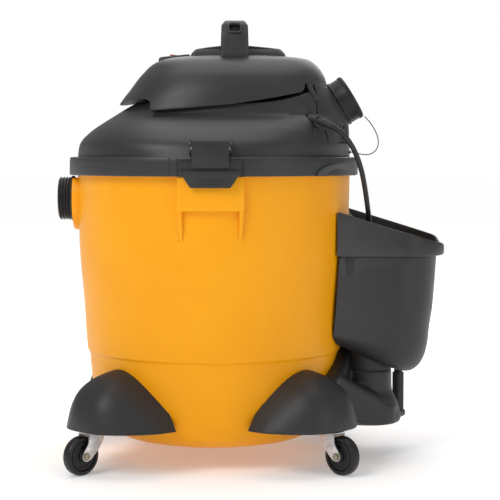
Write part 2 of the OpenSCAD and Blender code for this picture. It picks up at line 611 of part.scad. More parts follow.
module carbon_brushes() color([0.1, 0.1, 0.1]) on_axis() for (s = [0, 180]) rotate([0, 0, s])
    translate([14 + GAP, -3, 588.5]) cube([20, 6, 6]);
module cooling_fan() color([0.15, 0.15, 0.15]) on_axis() {
    ring(shaft_r, 34, 611, 612.5);
    ring(shaft_r, 10, 612.5, 622);
    for (a = [0:40:320]) rotate([0, 0, a]) translate([9, -0.75, 612.5]) cube([24, 1.5, 9]);
}

// ---------------------------------------------------------------- filter and float

module filter_cage() color([0.2, 0.2, 0.2]) on_axis() difference() {
    union() {
        ring(cage_r - 3, cage_r, cage_bottom_z, 466);
        ring(intake_r + 4, cage_r + 8, 466, lid_floor_z);
        ring(12, cage_r, cage_bottom_z, cage_bottom_z + 3);
    }
    for (a = [0:45:315]) rotate([0, 0, a]) translate([cage_r - 10, -16, 345]) cube([20, 32, 105]);
}
module float_ball() color([0.85, 0.85, 0.82]) on_axis()
    translate([0, 0, cage_bottom_z + 3 + GAP + float_r]) sphere(r = float_r);

PLEATS = 56;
module filter_pleats() color([0.93, 0.93, 0.9]) on_axis() translate([0, 0, 342]) linear_extrude(118)
    difference() {
        polygon([for (i = [0:2 * PLEATS - 1]) let (r = i % 2 == 0 ? 97 : 84)
            [r * cos(180 * i / PLEATS), r * sin(180 * i / PLEATS)]]);
        circle(r = 72.5);
    }
module filter_end_caps() color([0.15, 0.15, 0.16]) on_axis() {
    ring(cage_r + EPS, 99, 334, 342);
    ring(72.5, 99, 460, 469.5);
}
module filter_retainer() color([0.75, 0.1, 0.08]) on_axis() {
    ring(12, 90, 322, 327.5);
    translate([0, 0, 312]) difference() {
        cylinder(r = 13, h = 14);
        for (a = [0:60:300]) rotate([0, 0, a]) translate([15, 0, -1]) cylinder(r = 4, h = 18, $fn = 24);
    }
}

// ---------------------------------------------------------------- the nodes

tank();
inlet_port();
inlet_gasket();
inlet_nut();
inlet_deflector();
front_foot_left();
front_foot_right();
rear_dolly();
wand_post();
foot_screws();
tool_basket();
caster_stems();
caster_fork(-1, -1);  // caster_fork_front_left
caster_axle(-1, -1);  // caster_axle_front_left
caster_wheel(-1, -1);  // caster_wheel_front_left
caster_fork(-1, 1);  // caster_fork_front_right
caster_axle(-1, 1);  // caster_axle_front_right
caster_wheel(-1, 1);  // caster_wheel_front_right
caster_fork(1, -1);  // caster_fork_rear_left
caster_axle(1, -1);  // caster_axle_rear_left
caster_wheel(1, -1);  // caster_wheel_rear_left
caster_fork(1, 1);  // caster_fork_rear_right
caster_axle(1, 1);  // caster_axle_rear_right
caster_wheel(1, 1);  // caster_wheel_rear_right
lid_base();
lid_gasket();
motor_cover();
carry_handle();
handle_insert();
switch_panel();
switch_rocker();
cover_screws();
latch_left();
latch_right();
latch_pins();
exhaust_port();
exhaust_cap();
cap_tether();
cord_gland();
cord_lead();
cord_coil();
plug();
blower_housing();
blower_gasket();
impeller();
motor_shaft();
motor_frame();
motor_stator();
armature();
motor_bearings();
brush_holders();
carbon_brushes();
cooling_fan();
filter_cage();
float_ball();
filter_pleats();
filter_end_caps();
filter_retainer();
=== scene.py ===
"""Wet and dry drum vacuum with a lift-off power head, four casters and a tool basket.

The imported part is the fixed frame, and each class below builds the visible meshes of one
sub-assembly around it. Sizes are millimetres about the tank's upright axis: -X is the hose
inlet, +X the tool basket, -Y the near side, +Z up, and the floor is at z = 0.
"""

import functools
import json
import logging
import math
from dataclasses import dataclass, field
from enum import Enum
from typing import Any, Callable, Optional, Sequence, Union

import bmesh
import bpy
import numpy as np
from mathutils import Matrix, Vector


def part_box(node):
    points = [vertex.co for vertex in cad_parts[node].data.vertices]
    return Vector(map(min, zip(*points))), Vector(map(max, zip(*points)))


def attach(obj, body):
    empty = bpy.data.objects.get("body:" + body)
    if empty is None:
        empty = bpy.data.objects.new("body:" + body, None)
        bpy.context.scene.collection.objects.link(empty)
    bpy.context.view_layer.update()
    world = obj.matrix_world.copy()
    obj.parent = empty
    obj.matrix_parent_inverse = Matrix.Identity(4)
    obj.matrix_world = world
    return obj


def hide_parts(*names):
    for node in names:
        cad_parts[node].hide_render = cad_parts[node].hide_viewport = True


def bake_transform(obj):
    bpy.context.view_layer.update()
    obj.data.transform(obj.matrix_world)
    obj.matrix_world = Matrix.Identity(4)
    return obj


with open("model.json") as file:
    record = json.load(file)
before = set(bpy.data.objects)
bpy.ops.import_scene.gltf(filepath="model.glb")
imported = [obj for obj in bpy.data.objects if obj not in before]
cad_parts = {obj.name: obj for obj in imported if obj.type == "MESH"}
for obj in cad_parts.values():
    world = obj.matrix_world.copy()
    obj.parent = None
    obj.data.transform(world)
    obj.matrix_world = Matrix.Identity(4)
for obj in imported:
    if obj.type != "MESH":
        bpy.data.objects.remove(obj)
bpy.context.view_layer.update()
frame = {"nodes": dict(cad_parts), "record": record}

AXIS_X = sum(corner.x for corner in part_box("float_ball")) / 2
SIDES = (-1, 1)
CRISP_DEG = 28.0
log = logging.getLogger("vacuum")

Shape = Callable[[np.ndarray], np.ndarray]


class Body(Enum):
    """The moving bodies of the part."""

    BASE = "base"
    HEAD = "head"
    ROCKER = "rocker"
    CAP = "exhaust_cap"


# ------------------------------------------------------------------ shaping tools


def to_frame(points: Any) -> np.ndarray:
    """Turns millimetres about the tank's axis into the frame's metres."""
    return np.asarray(points, float) * 0.001 + [AXIS_X, 0.0, 0.0]


class Table:
    """A smooth curve through (position, value) knots that never overshoots them."""

    def __init__(self, *knots: tuple[float, float]) -> None:
        """Works out the slope at each knot.

        Args:
            knots: The pairs of position and value, in rising order of position.
        """
        self.at, self.value = np.array(knots, float).T
        steps = np.diff(self.value) / np.diff(self.at)
        self.slope = np.zeros(len(knots))
        self.slope[0], self.slope[-1] = steps[0], steps[-1]
        same = steps[:-1] * steps[1:] > 0
        mean = 2 * steps[:-1] * steps[1:] / np.where(same, steps[:-1] + steps[1:], 1)
        self.slope[1:-1] = np.where(same, mean, 0)

    def __call__(self, at: Any) -> np.ndarray:
        """Gives the curve's values at the given positions.

        Args:
            at: The positions.

        Returns:
            The value at each position.
        """
        at = np.clip(np.asarray(at, float), self.at[0], self.at[-1])
        k = np.clip(np.searchsorted(self.at, at) - 1, 0, len(self.at) - 2)
        width = self.at[k + 1] - self.at[k]
        t = (at - self.at[k]) / width
        ease = t * t * (3 - 2 * t)
        bend = t * (1 - t) * width
        return (
            self.value[k] * (1 - ease)
            + self.value[k + 1] * ease
            + bend * ((1 - t) * self.slope[k] - t * self.slope[k + 1])
        )


@dataclass(frozen=True)
class Place:
    """Where a local shape goes: an origin and the three directions of its local axes."""

    origin: tuple[float, float, float] = (0.0, 0.0, 0.0)
    rows: tuple = ((1, 0, 0), (0, 1, 0), (0, 0, 1))

    def __call__(self, points: np.ndarray) -> np.ndarray:
        """Moves local points to their place."""
        return np.asarray(points, float) @ np.array(self.rows, float) + self.origin

    def turned(self, degrees: float) -> "Place":
        """Gives this place turned about the tank's axis.

        Args:
            degrees: How far to turn it.

        Returns:
            The turned place.
        """
        c, s = math.cos(math.radians(degrees)), math.sin(math.radians(degrees))
        turn = np.array([[c, s, 0], [-s, c, 0], [0, 0, 1]])
        rows = np.array(self.rows, float) @ turn
        return Place(tuple(np.array(self.origin) @ turn), tuple(map(tuple, rows)))


def face_on_x(origin: Sequence[float] = (0, 0, 0)) -> Place:
    """Gives a place whose outline lies in the Y, Z plane and whose depth runs along X."""
    return Place(tuple(origin), ((0, 1, 0), (0, 0, 1), (1, 0, 0)))


def face_on_y(origin: Sequence[float] = (0, 0, 0)) -> Place:
    """Gives a place whose outline lies in the X, Z plane and whose depth runs along Y."""
    return Place(tuple(origin), ((1, 0, 0), (0, 0, 1), (0, 1, 0)))


def unit(vector: Any) -> np.ndarray:
    """Gives a vector of length one in the same direction."""
    return np.asarray(vector, float) / np.linalg.norm(vector)


def along(origin: Sequence[float], axis: Sequence[float]) -> Place:
    """Gives a place whose local Z runs along an axis.

    Args:
        origin: The local origin.
        axis: The direction of the local Z axis.

    Returns:
        The place, with its local X axis level.
    """
    z = unit(axis)
    x = unit(np.cross([0, 0, 1.0], z) if abs(z[2]) < 0.99 else [1.0, 0, 0])
    return Place(tuple(origin), (tuple(x), tuple(np.cross(z, x)), tuple(z)))


def wrapped(radius: float, side: int = -1) -> Shape:
    """Bends a flat shape round the tank, on the near or the far side.

    Args:
        radius: The radius that the shape's y = 0 lies on; y counts outwards.
        side: -1 for the near side and 1 for the far side.

    Returns:
        A shape function for local points (along the rim, outwards, z).
    """

    def bend(points: np.ndarray) -> np.ndarray:
        """Bends the points."""
        angle, reach = points[:, 0] / radius, radius + points[:, 1]
        return np.stack([reach * np.sin(angle), side * reach * np.cos(angle), points[:, 2]], 1)

    return bend


def rounded(corners: Sequence[Sequence[float]], radius: float, steps: int = 4) -> np.ndarray:
    """Rounds the corners of a closed outline.

    Args:
        corners: The outline's corners, as x, y.
        radius: How far from each corner its curve starts.
        steps: The number of sides in each curve.

    Returns:
        The outline's points.
    """
    p = np.asarray(corners, float)
    made = []
    for before, here, after in zip(np.roll(p, 1, 0), p, np.roll(p, -1, 0)):
        to_before, to_after = before - here, after - here
        reach = min(radius, 0.45 * np.linalg.norm(to_before), 0.45 * np.linalg.norm(to_after))
        a, b = here + unit(to_before) * reach, here + unit(to_after) * reach
        for k in range(steps + 1):
            t = k / steps
            made.append(a * (1 - t) ** 2 + here * 2 * t * (1 - t) + b * t * t)
    return np.array(made)


def rectangle(width: float, height: float, radius: float = 1.0, steps: int = 4) -> np.ndarray:
    """Gives a round-cornered rectangle about the local origin."""
    w, h = width / 2, height / 2
    return rounded([(-w, -h), (w, -h), (w, h), (-w, h)], radius, steps)


def circle(radius: float, segments: int = 48) -> np.ndarray:
    """Gives a circle about the local origin."""
    a = np.linspace(0, 2 * math.pi, segments, endpoint=False)
    return np.stack([radius * np.cos(a), radius * np.sin(a)], 1)


def inset(outline: np.ndarray, amount: float) -> np.ndarray:
    """Moves every side of a closed outline inwards.

    Args:
        outline: The outline's points, as x, y, in either direction of travel.
        amount: How far to move the sides.

    Returns:
        The smaller outline, point for point.
    """
    p = np.asarray(outline, float)
    back, on = p - np.roll(p, 1, 0), np.roll(p, -1, 0) - p
    area = np.sum(p[:, 0] * np.roll(p, -1, 0)[:, 1] - np.roll(p, -1, 0)[:, 0] * p[:, 1])
    normals = []
    for edge in (back, on):
        edge = edge / np.maximum(np.linalg.norm(edge, axis=1, keepdims=True), 1e-9)
        normals.append(np.stack([-edge[:, 1], edge[:, 0]], 1) * np.sign(area))
    shared = 1 + np.sum(normals[0] * normals[1], 1, keepdims=True)
    return p + amount * (normals[0] + normals[1]) / np.maximum(shared, 0.35)


def spline(route: Sequence[Sequence[float]], steps: int) -> np.ndarray:
    """Gives a smooth path through a route's points.

    Args:
        route: The points to pass through.
        steps: The number of stretches between two of them.

    Returns:
        The path's points, the route's own among them.
    """
    p = np.asarray(route, float)
    p = np.vstack([2 * p[0] - p[1], p, 2 * p[-1] - p[-2]])
    made = []
    for a, b, c, d in zip(p, p[1:], p[2:], p[3:]):
        for t in np.arange(steps) / steps:
            made.append(
                0.5
                * (
                    2 * b
                    + (c - a) * t
                    + (2 * a - 5 * b + 4 * c - d) * t * t
                    + (3 * b - a - 3 * c + d) * t**3
                )
            )
    return np.vstack([made, [p[-2]]])


def superoval(front: Any, rear: Any, half: Any, power: Any, turn: np.ndarray) -> np.ndarray:
    """Gives points of a squarish oval in plan.

    Args:
        front: X at the front.
        rear: X at the rear.
        half: Half of the width.
        power: 2 for an ellipse, more for a squarer outline.
        turn: The angle of each point in radians, 0 at the rear.

    Returns:
        X and Y of each point.
    """
    c, s = np.cos(turn), np.sin(turn)
    x = (front + rear) / 2 + (rear - front) / 2 * np.sign(c) * np.abs(c) ** (2 / power)
    return np.stack([x, half * np.sign(s) * np.abs(s) ** (2 / power)], -1)


def window(value: Any, low: float, high: float, soft: float) -> np.ndarray:
    """Gives 1 between two limits and 0 outside them, with soft ends.

    Args:
        value: The number or numbers to test.
        low: The lower limit.
        high: The upper limit.
        soft: How wide the change is at each limit.

    Returns:
        A number from 0 to 1 for each value.
    """
    value = np.asarray(value, float)
    up = np.clip((value - low) / soft + 0.5, 0, 1)
    down = np.clip((high - value) / soft + 0.5, 0, 1)
    return up * up * (3 - 2 * up) * down * down * (3 - 2 * down)


class Shell:
    """The closed surfaces of one piece, before they become a mesh."""

    def __init__(self) -> None:
        """Starts with nothing in it."""
        self.points: list[np.ndarray] = []
        self.faces: list[list[int]] = []
        self.count = 0

    def add(self, points: Any, faces: Sequence, shape: Optional[Shape] = None) -> "Shell":
        """Adds points and faces.

        Args:
            points: The points, in millimetres.
            faces: Lists of point numbers, counted from this call's first point.
            shape: Moves the points to their place.

        Returns:
            The shell itself.
        """
        points = np.asarray(points, float).reshape(-1, 3)
        self.points.append(shape(points) if shape else points)
        self.faces += [[i + self.count for i in f] for f in faces]
        self.count += len(points)
        return self

    def loft(self, rings: Any, shape: Optional[Shape] = None, loop: bool = False) -> "Shell":
        """Joins rings of equally many points.

        Args:
            rings: The rings, each a closed line of points.
            shape: Moves the points to their place.
            loop: Joins the last ring to the first in place of closing both.

        Returns:
            The shell itself.
        """
        rings = np.asarray(rings, float)
        m, n = rings.shape[:2]
        faces = []
        for k in range(m if loop else m - 1):
            a, b = k * n, (k + 1) % m * n
            faces += [[a + j, a + (j + 1) % n, b + (j + 1) % n, b + j] for j in range(n)]
        if not loop:
            faces += [list(range(n))[::-1], list(range((m - 1) * n, m * n))]
        return self.add(rings, faces, shape)

    def turn(
        self, profile: Any, shape: Optional[Shape] = None, segments: int = 64, loop: bool = True
    ) -> "Shell":
        """Turns a profile about the local Z axis.

        Args:
            profile: Points of radius and height.
            shape: Moves the points to their place.
            segments: The number of sides in a turn.
            loop: Says that the profile is a closed line; otherwise its ends are capped.

        Returns:
            The shell itself.
        """
        a = np.linspace(0, 2 * math.pi, segments, endpoint=False)
        rings = [np.stack([r * np.cos(a), r * np.sin(a), np.full(segments, z)], 1) for r, z in profile]
        return self.loft(rings, shape, loop)

    def prism(
        self,
        outline: Any,
        low: float,
        high: float,
        soft: float = 1.0,
        shape: Optional[Shape] = None,
    ) -> "Shell":
        """Stands an outline up between two heights, with rounded edges.

        Args:
            outline: The closed outline, as x, y.
            low: The lower height.
            high: The upper height.
            soft: The radius of the edges.
            shape: Moves the points to their place.

        Returns:
            The shell itself.
        """
        bend = [math.pi / 2 * k / 3 for k in range(4)]
        ends = [(soft * (1 - math.sin(a)), soft * (1 - math.cos(a))) for a in bend]
        rings = []
        for shrink, rise in ends:
            ring = inset(outline, shrink)
            rings.append(np.column_stack([ring, np.full(len(ring), low + rise)]))
        for shrink, rise in ends[::-1]:
            ring = inset(outline, shrink)
            rings.append(np.column_stack([ring, np.full(len(ring), high - rise)]))
        return self.loft(rings, shape)

    def tube(self, path: np.ndarray, radius: Any, sides: int = 12) -> "Shell":
        """Runs a round tube along a path.

        Args:
            path: The centre line's points.
            radius: One radius, or one for each point.
            sides: The number of sides round it.

        Returns:
            The shell itself.
        """
        path = np.asarray(path, float)
        heading = np.gradient(path, axis=0)
        heading /= np.linalg.norm(heading, axis=1, keepdims=True)
        radius = np.broadcast_to(np.asarray(radius, float), len(path))
        side = unit(np.cross(heading[0], [0.13, 0.31, 0.94]))
        a = np.linspace(0, 2 * math.pi, sides, endpoint=False)[:, None]
        rings = []
        for point, ahead, r in zip(path, heading, radius):
            side = unit(side - ahead * np.dot(side, ahead))
            rings.append(point + r * (np.cos(a) * side + np.sin(a) * np.cross(ahead, side)))
        return self.loft(rings)

    def hull(self, points: Any) -> "Shell":
        """Adds the smallest convex body round the points.

        Args:
            points: The points to hold.

        Returns:
            The shell itself.
        """
        work = bmesh.new()
        verts = [work.verts.new(p) for p in points]
        found = bmesh.ops.convex_hull(work, input=verts)
        loose = {g for g in found["geom_interior"] + found["geom_unused"]}
        bmesh.ops.delete(work, geom=[v for v in loose if isinstance(v, bmesh.types.BMVert)])
        work.verts.index_update()
        self.add([v.co[:] for v in work.verts], [[v.index for v in f.verts] for f in work.faces])
        work.free()
        return self

    def build(self, name: str) -> bpy.types.Object:
        """Makes the Blender object.

        Args:
            name: The piece's name.

        Returns:
            The object, in the frame's metres, with its faces turned outwards.
        """
        mesh = bpy.data.meshes.new(name)
        mesh.from_pydata(to_frame(np.vstack(self.points)).tolist(), [], self.faces)
        work = bmesh.new()
        work.from_mesh(mesh)
        bmesh.ops.recalc_face_normals(work, faces=work.faces[:])
        work.to_mesh(mesh)
        work.free()
        made = bpy.data.objects.new(name, mesh)
        bpy.context.scene.collection.objects.link(made)
        return made


def worked(piece: bpy.types.Object, kind: str, **settings: Any) -> bpy.types.Object:
    """Runs one modifier over a piece and keeps its result.

    Args:
        piece: The piece.
        kind: The modifier's type.
        settings: The modifier's settings.

    Returns:
        The piece itself.
    """
    modifier = piece.modifiers.new(kind.lower(), kind)
    for name, value in settings.items():
        setattr(modifier, name, value)
    graph = bpy.context.evaluated_depsgraph_get()
    graph.update()
    mesh = bpy.data.meshes.new_from_object(piece.evaluated_get(graph))
    piece.modifiers.clear()
    old, piece.data = piece.data, mesh
    bpy.data.meshes.remove(old)
    return piece


def cut(piece: bpy.types.Object, tool: Shell) -> bpy.types.Object:
    """Takes a tool's volume out of a piece.

    Args:
        piece: The piece.
        tool: The volume to take away.

    Returns:
        The piece itself.
    """
    solid = tool.build(piece.name + "_tool")
    worked(piece, "BOOLEAN", object=solid, operation="DIFFERENCE", solver="EXACT", use_self=True)
    bpy.data.objects.remove(solid)
    return piece


# ------------------------------------------------------------------ finishes

Value = Union["Signal", float, tuple]


class Signal:
    """A value inside a material, on which arithmetic adds Math nodes."""

    def __init__(self, paint: "Paint", socket: bpy.types.NodeSocket) -> None:
        """Holds the material's tree and the output that gives the value."""
        self.paint, self.socket = paint, socket

    def _math(self, operation: str, first: Value, second: Value) -> "Signal":
        """Adds one Math node."""
        return self.paint.node("ShaderNodeMath", {"operation": operation}, {0: first, 1: second})

    def __add__(self, other: Value) -> "Signal":
        """Gives self + other."""
        return self._math("ADD", self, other)

    __radd__ = __add__

    def __mul__(self, other: Value) -> "Signal":
        """Gives self * other."""
        return self._math("MULTIPLY", self, other)

    __rmul__ = __mul__

    def __sub__(self, other: Value) -> "Signal":
        """Gives self - other."""
        return self._math("SUBTRACT", self, other)

    def __rsub__(self, other: Value) -> "Signal":
        """Gives other - self."""
        return self._math("SUBTRACT", other, self)

    def above(self, low: float, high: float) -> "Signal":
        """Gives 0 under low, 1 over high and a smooth step between them."""
        inputs = {0: self, 1: low, 2: high, 3: 0.0, 4: 1.0}
        return self.paint.node("ShaderNodeMapRange", {"interpolation_type": "SMOOTHSTEP"}, inputs)


class Paint:
    """One material's node tree, round a principled shader."""

    def __init__(self, name: str, **steady: Any) -> None:
        """Starts the material.

        Args:
            name: The material's name.
            steady: Values that are the same all over; an underscore stands for a space.
        """
        self.material = bpy.data.materials.new(name)
        self.material.use_nodes = True
        self.tree = self.material.node_tree
        self.shader = self.tree.nodes["Principled BSDF"]
        for socket, value in steady.items():
            self.shader.inputs[socket.replace("_", " ")].default_value = value
        self.place = self.node("ShaderNodeTexCoord", output=3)

    def node(
        self,
        kind: str,
        settings: Optional[dict[str, Any]] = None,
        inputs: Optional[dict[Any, Value]] = None,
        output: int = 0,
    ) -> Signal:
        """Adds a node.

        Args:
            kind: The node's type.
            settings: Its own settings, set before its sockets.
            inputs: What each input, by number or name, holds or is linked to.
            output: The number of the output to give.

        Returns:
            The chosen output.
        """
        made = self.tree.nodes.new(kind)
        for name, value in (settings or {}).items():
            setattr(made, name, value)
        for socket, value in (inputs or {}).items():
            if isinstance(value, Signal):
                self.tree.links.new(value.socket, made.inputs[socket])
            else:
                made.inputs[socket].default_value = value
        return Signal(self, made.outputs[output])

    def noise(self, size_mm: float, detail: float = 3.0, stretch: tuple = (1, 1, 1)) -> Signal:
        """Gives cloudy noise whose patches are about a given size.

        Args:
            size_mm: The size of a patch.
            detail: How many finer layers it has.
            stretch: How much the noise is drawn out along each axis.

        Returns:
            A value from 0 to 1.
        """
        scale = tuple(1 / s for s in stretch)
        at = self.node("ShaderNodeMapping", None, {0: self.place, 3: scale})
        inputs = {"Vector": at, "Scale": 600.0 / size_mm, "Detail": detail, "Roughness": 0.55}
        return self.node("ShaderNodeTexNoise", None, inputs)

    def cells(self, size_mm: float, feature: str = "F1") -> Signal:
        """Gives a pattern of cells: a value that is 0 at each cell's middle."""
        inputs = {"Vector": self.place, "Scale": 1000.0 / size_mm}
        return self.node("ShaderNodeTexVoronoi", {"feature": feature}, inputs)

    def edges(self, low: float = 0.52, high: float = 0.62) -> Signal:
        """Gives 1 on sharp outer edges and 0 elsewhere."""
        return self.node("ShaderNodeNewGeometry", output=7).above(low, high)

    def mix(self, factor: Value, first: Value, second: Value) -> Signal:
        """Mixes two colours."""
        return self.node("ShaderNodeMix", {"data_type": "RGBA"}, {0: factor, 6: first, 7: second}, 2)

    def feed(self, socket: str, value: Signal) -> None:
        """Links a value into the shader."""
        self.tree.links.new(value.socket, self.shader.inputs[socket])

    def bump(self, height: Signal, depth_mm: float) -> None:
        """Links a height pattern into the shader's normal."""
        inputs = {"Strength": 1.0, "Distance": depth_mm / 1000, "Height": height}
        self.feed("Normal", self.node("ShaderNodeBump", None, inputs))


def rgba(colour: Sequence[float]) -> tuple:
    """Gives a colour its alpha."""
    return (*colour, 1.0)


@dataclass(frozen=True)
class Moulded:
    """Moulded plastic or rubber with a fine texture and lighter edges: partly wear, partly a painted edge
    highlight.
    """

    colour: tuple[float, float, float]
    cast: tuple[float, float, float]
    # Colour that sharp edges are painted towards: partly wear, partly a painted edge highlight.
    worn: tuple[float, float, float]
    rough: float
    grain_mm: float = 0.8
    depth_mm: float = 0.05
    coat: float = 0.0
    # How strongly sharp edges are painted lighter, for wear and a painted edge highlight.
    wear: float = 0.35
    specular: float = 0.5

    def paint(self, name: str) -> bpy.types.Material:
        """Makes the material.

        Args:
            name: The material's name.

        Returns:
            The material.
        """
        paint = Paint(name, Specular_IOR_Level=self.specular, Coat_Weight=self.coat,
            Coat_Roughness=0.22)
        clouds = paint.noise(70, 4).above(0.35, 0.7)
        fine = paint.noise(6, 5)
        scuffs = paint.noise(26, 6, (1, 1, 3)).above(0.6, 0.76)
        body = paint.mix(clouds * 0.8 + fine * 0.2, rgba(self.colour), rgba(self.cast))
        # Sharp edges are painted lighter: partly wear, partly a painted highlight along the edges.
        worn = paint.edges() * self.wear * (fine * 0.8 + 0.5)
        paint.feed("Base Color", paint.mix(worn + scuffs * 0.05, body, rgba(self.worn)))
        paint.feed("Roughness", (clouds - 0.5) * 0.05 + scuffs * 0.06 + fine * 0.08
            + (self.rough - 0.04))
        grain = paint.cells(self.grain_mm, "SMOOTH_F1") + paint.noise(self.grain_mm * 3, 3) * 0.7
        paint.bump(grain, self.depth_mm)
        return paint.material


@dataclass(frozen=True)
class Metal:
    """Bare or plated metal with spangle, fine scratches and dulled patches."""

    colour: tuple[float, float, float]
    dull: tuple[float, float, float]
    rough: float
    spangle_mm: float = 5.0
    scratch: tuple[float, float, float] = (1, 1, 8)
    depth_mm: float = 0.03

    def paint(self, name: str) -> bpy.types.Material:
        """Makes the material.

        Args:
            name: The material's name.

        Returns:
            The material.
        """
        paint = Paint(name)
        spangle = paint.cells(self.spangle_mm)
        stains = paint.noise(14, 5).above(0.4, 0.68)
        lines = paint.noise(1.4, 4, self.scratch)
        shade = stains * 0.55 + spangle * 0.4 + (lines - 0.5) * 0.25
        paint.feed("Base Color", paint.mix(shade, rgba(self.colour), rgba(self.dull)))
        paint.feed("Metallic", 0.98 - stains * 0.2)
        paint.feed("Roughness", stains * 0.16 + lines * 0.1 + (self.rough - 0.05))
        paint.bump(lines + spangle * 0.4, self.depth_mm)
        return paint.material


@dataclass(frozen=True)
class Wound:
    """Fine parallel lines on metal or paper: windings, stacked sheets or fibres."""

    colour: tuple[float, float, float]
    between: tuple[float, float, float]
    pitch_mm: float
    across: str = "Z"
    rough: float = 0.4
    metal: float = 0.9
    depth_mm: float = 0.2

    def paint(self, name: str) -> bpy.types.Material:
        """Makes the material.

        Args:
            name: The material's name.

        Returns:
            The material.
        """
        paint = Paint(name, Metallic=self.metal)
        settings = {"wave_type": "BANDS", "bands_direction": self.across}
        inputs = {"Vector": paint.place, "Scale": 314.0 / self.pitch_mm, "Distortion": 0.6,
            "Detail": 1.0}
        lines = paint.node("ShaderNodeTexWave", settings, inputs, 1)
        mottle = paint.noise(9, 4)
        paint.feed("Base Color", paint.mix(lines * 0.7 + mottle * 0.3, rgba(self.between),
            rgba(self.colour)))
        paint.feed("Roughness", mottle * 0.2 + (self.rough - 0.1))
        paint.bump(lines + mottle * 0.3, self.depth_mm)
        return paint.material


class Finish(Enum):
    """Every finish on the vacuum; its name is the record's material slot."""

    # The eighth number of each Moulded is how far its edges are painted lighter, for wear and a painted
    # edge highlight.
    TANK_YELLOW = Moulded((0.88, 0.365, 0.002), (0.85, 0.335, 0.001), (0.93, 0.45, 0.03), 0.42, 1.6,
        0.03, 0.0, 0.2, 0.22)
    HEAD_CHARCOAL = Moulded((0.019, 0.019, 0.020), (0.025, 0.025, 0.026), (0.11, 0.11, 0.115), 0.44,
        0.9, 0.06, 0.0, 0.5, 0.42)
    FOOT_CHARCOAL = Moulded((0.018, 0.018, 0.019), (0.023, 0.023, 0.024), (0.09, 0.09, 0.094), 0.48,
        1.0, 0.06, 0.0, 0.4, 0.4)
    PORT_BLACK = Moulded((0.009, 0.009, 0.0095), (0.013, 0.013, 0.0135), (0.06, 0.06, 0.06), 0.42,
        0.9, 0.04, 0.0, 0.35, 0.35)
    BASKET_CHARCOAL = Moulded((0.017, 0.017, 0.018), (0.022, 0.022, 0.023), (0.09, 0.09, 0.094), 0.46,
        1.0, 0.06, 0.0, 0.4, 0.4)
    LATCH_BLACK = Moulded((0.014, 0.014, 0.015), (0.019, 0.019, 0.02), (0.12, 0.12, 0.12), 0.42, 0.8,
        0.04, 0.0, 0.6, 0.4)
    SEAL_RUBBER = Moulded((0.012, 0.012, 0.012), (0.02, 0.02, 0.02), (0.05, 0.05, 0.05), 0.75, 0.6,
        0.05)
    ZINC_PLATE = Metal((0.74, 0.75, 0.76), (0.46, 0.47, 0.49), 0.34)
    BOLT_STEEL = Metal((0.46, 0.42, 0.33), (0.22, 0.20, 0.16), 0.32, 2.0, (3, 3, 1))
    WHEEL_BLACK = Moulded((0.007, 0.007, 0.0075), (0.012, 0.012, 0.012), (0.06, 0.06, 0.06), 0.42,
        0.8, 0.05, 0.0, 0.35, 0.35)
    ROCKER_RED = Moulded((0.80, 0.030, 0.010), (0.72, 0.022, 0.008), (0.7, 0.08, 0.05), 0.3, 0.5,
        0.02, 0.3)
    CORD_BLACK = Moulded((0.010, 0.010, 0.011), (0.015, 0.015, 0.016), (0.06, 0.06, 0.06), 0.42, 0.7,
        0.03, 0.0, 0.35, 0.4)
    MOTOR_STEEL = Metal((0.42, 0.43, 0.45), (0.24, 0.24, 0.25), 0.4, 3.0, (1, 1, 5))
    LAMINATION = Wound((0.30, 0.31, 0.33), (0.05, 0.05, 0.05), 1.0, "Z", 0.45)
    COPPER_WINDING = Wound((0.85, 0.34, 0.13), (0.25, 0.07, 0.02), 1.4, "DIAGONAL", 0.3)
    CARBON = Moulded((0.02, 0.02, 0.02), (0.035, 0.035, 0.035), (0.09, 0.09, 0.09), 0.6, 0.4, 0.03)
    BRASS_HOLDER = Metal((0.78, 0.56, 0.22), (0.48, 0.32, 0.12), 0.3, 4.0, (6, 1, 1))
    FAN_ALUMINIUM = Metal((0.74, 0.75, 0.76), (0.5, 0.5, 0.52), 0.34, 4.0, (6, 1, 1))
    FLOAT_WHITE = Moulded((0.72, 0.71, 0.66), (0.66, 0.65, 0.6), (0.8, 0.79, 0.75), 0.42, 1.4, 0.03)
    FILTER_PAPER = Wound((0.86, 0.84, 0.78), (0.68, 0.65, 0.58), 3.0, "Z", 0.85, 0.0, 0.1)
    KNOB_RED = Moulded((0.50, 0.02, 0.012), (0.44, 0.015, 0.01), (0.65, 0.08, 0.05), 0.4, 0.8, 0.03)

    @property
    def slot(self) -> str:
        """Gives the record's slot name."""
        return self.name.lower()


@functools.lru_cache(maxsize=None)
def material_for(finish: Finish) -> bpy.types.Material:
    """Makes a finish's material once."""
    return finish.value.paint(finish.slot + "_finish")


def dress(
    piece: bpy.types.Object,
    finish: Finish,
    body: Union[Body, str, None],
    replaces: Sequence[str] = (),
    crisp: float = CRISP_DEG,
) -> bpy.types.Object:
    """Gives a piece its material, its smooth shading and its place in the part.

    Args:
        piece: The piece.
        finish: What it's made of.
        body: The body that it moves with, or None for a piece that bends between two.
        replaces: The CAD nodes that it stands for.
        crisp: Edges that turn by more degrees than this stay sharp.

    Returns:
        The piece itself.
    """
    piece.data.materials.clear()
    piece.data.materials.append(material_for(finish))
    piece.data.polygons.foreach_set("use_smooth", [True] * len(piece.data.polygons))
    piece.data.set_sharp_from_angle(angle=math.radians(crisp))
    if body is not None:
        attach(piece, body.value if isinstance(body, Body) else body)
    finish.slot
    if replaces:
        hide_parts(*replaces)
    log.info("%s: %d faces", piece.name, len(piece.data.polygons))
    return piece


# ------------------------------------------------------------------ tank

TANK_SIDE = Table(
    (33, 137), (35, 146), (39, 155.5), (46, 166), (60, 178), (80, 187), (105, 193), (135, 197),
    (168, 200), (169.5, 200.6), (171.5, 202.6), (173, 203.1), (246, 208), (340, 215), (448, 217),
)


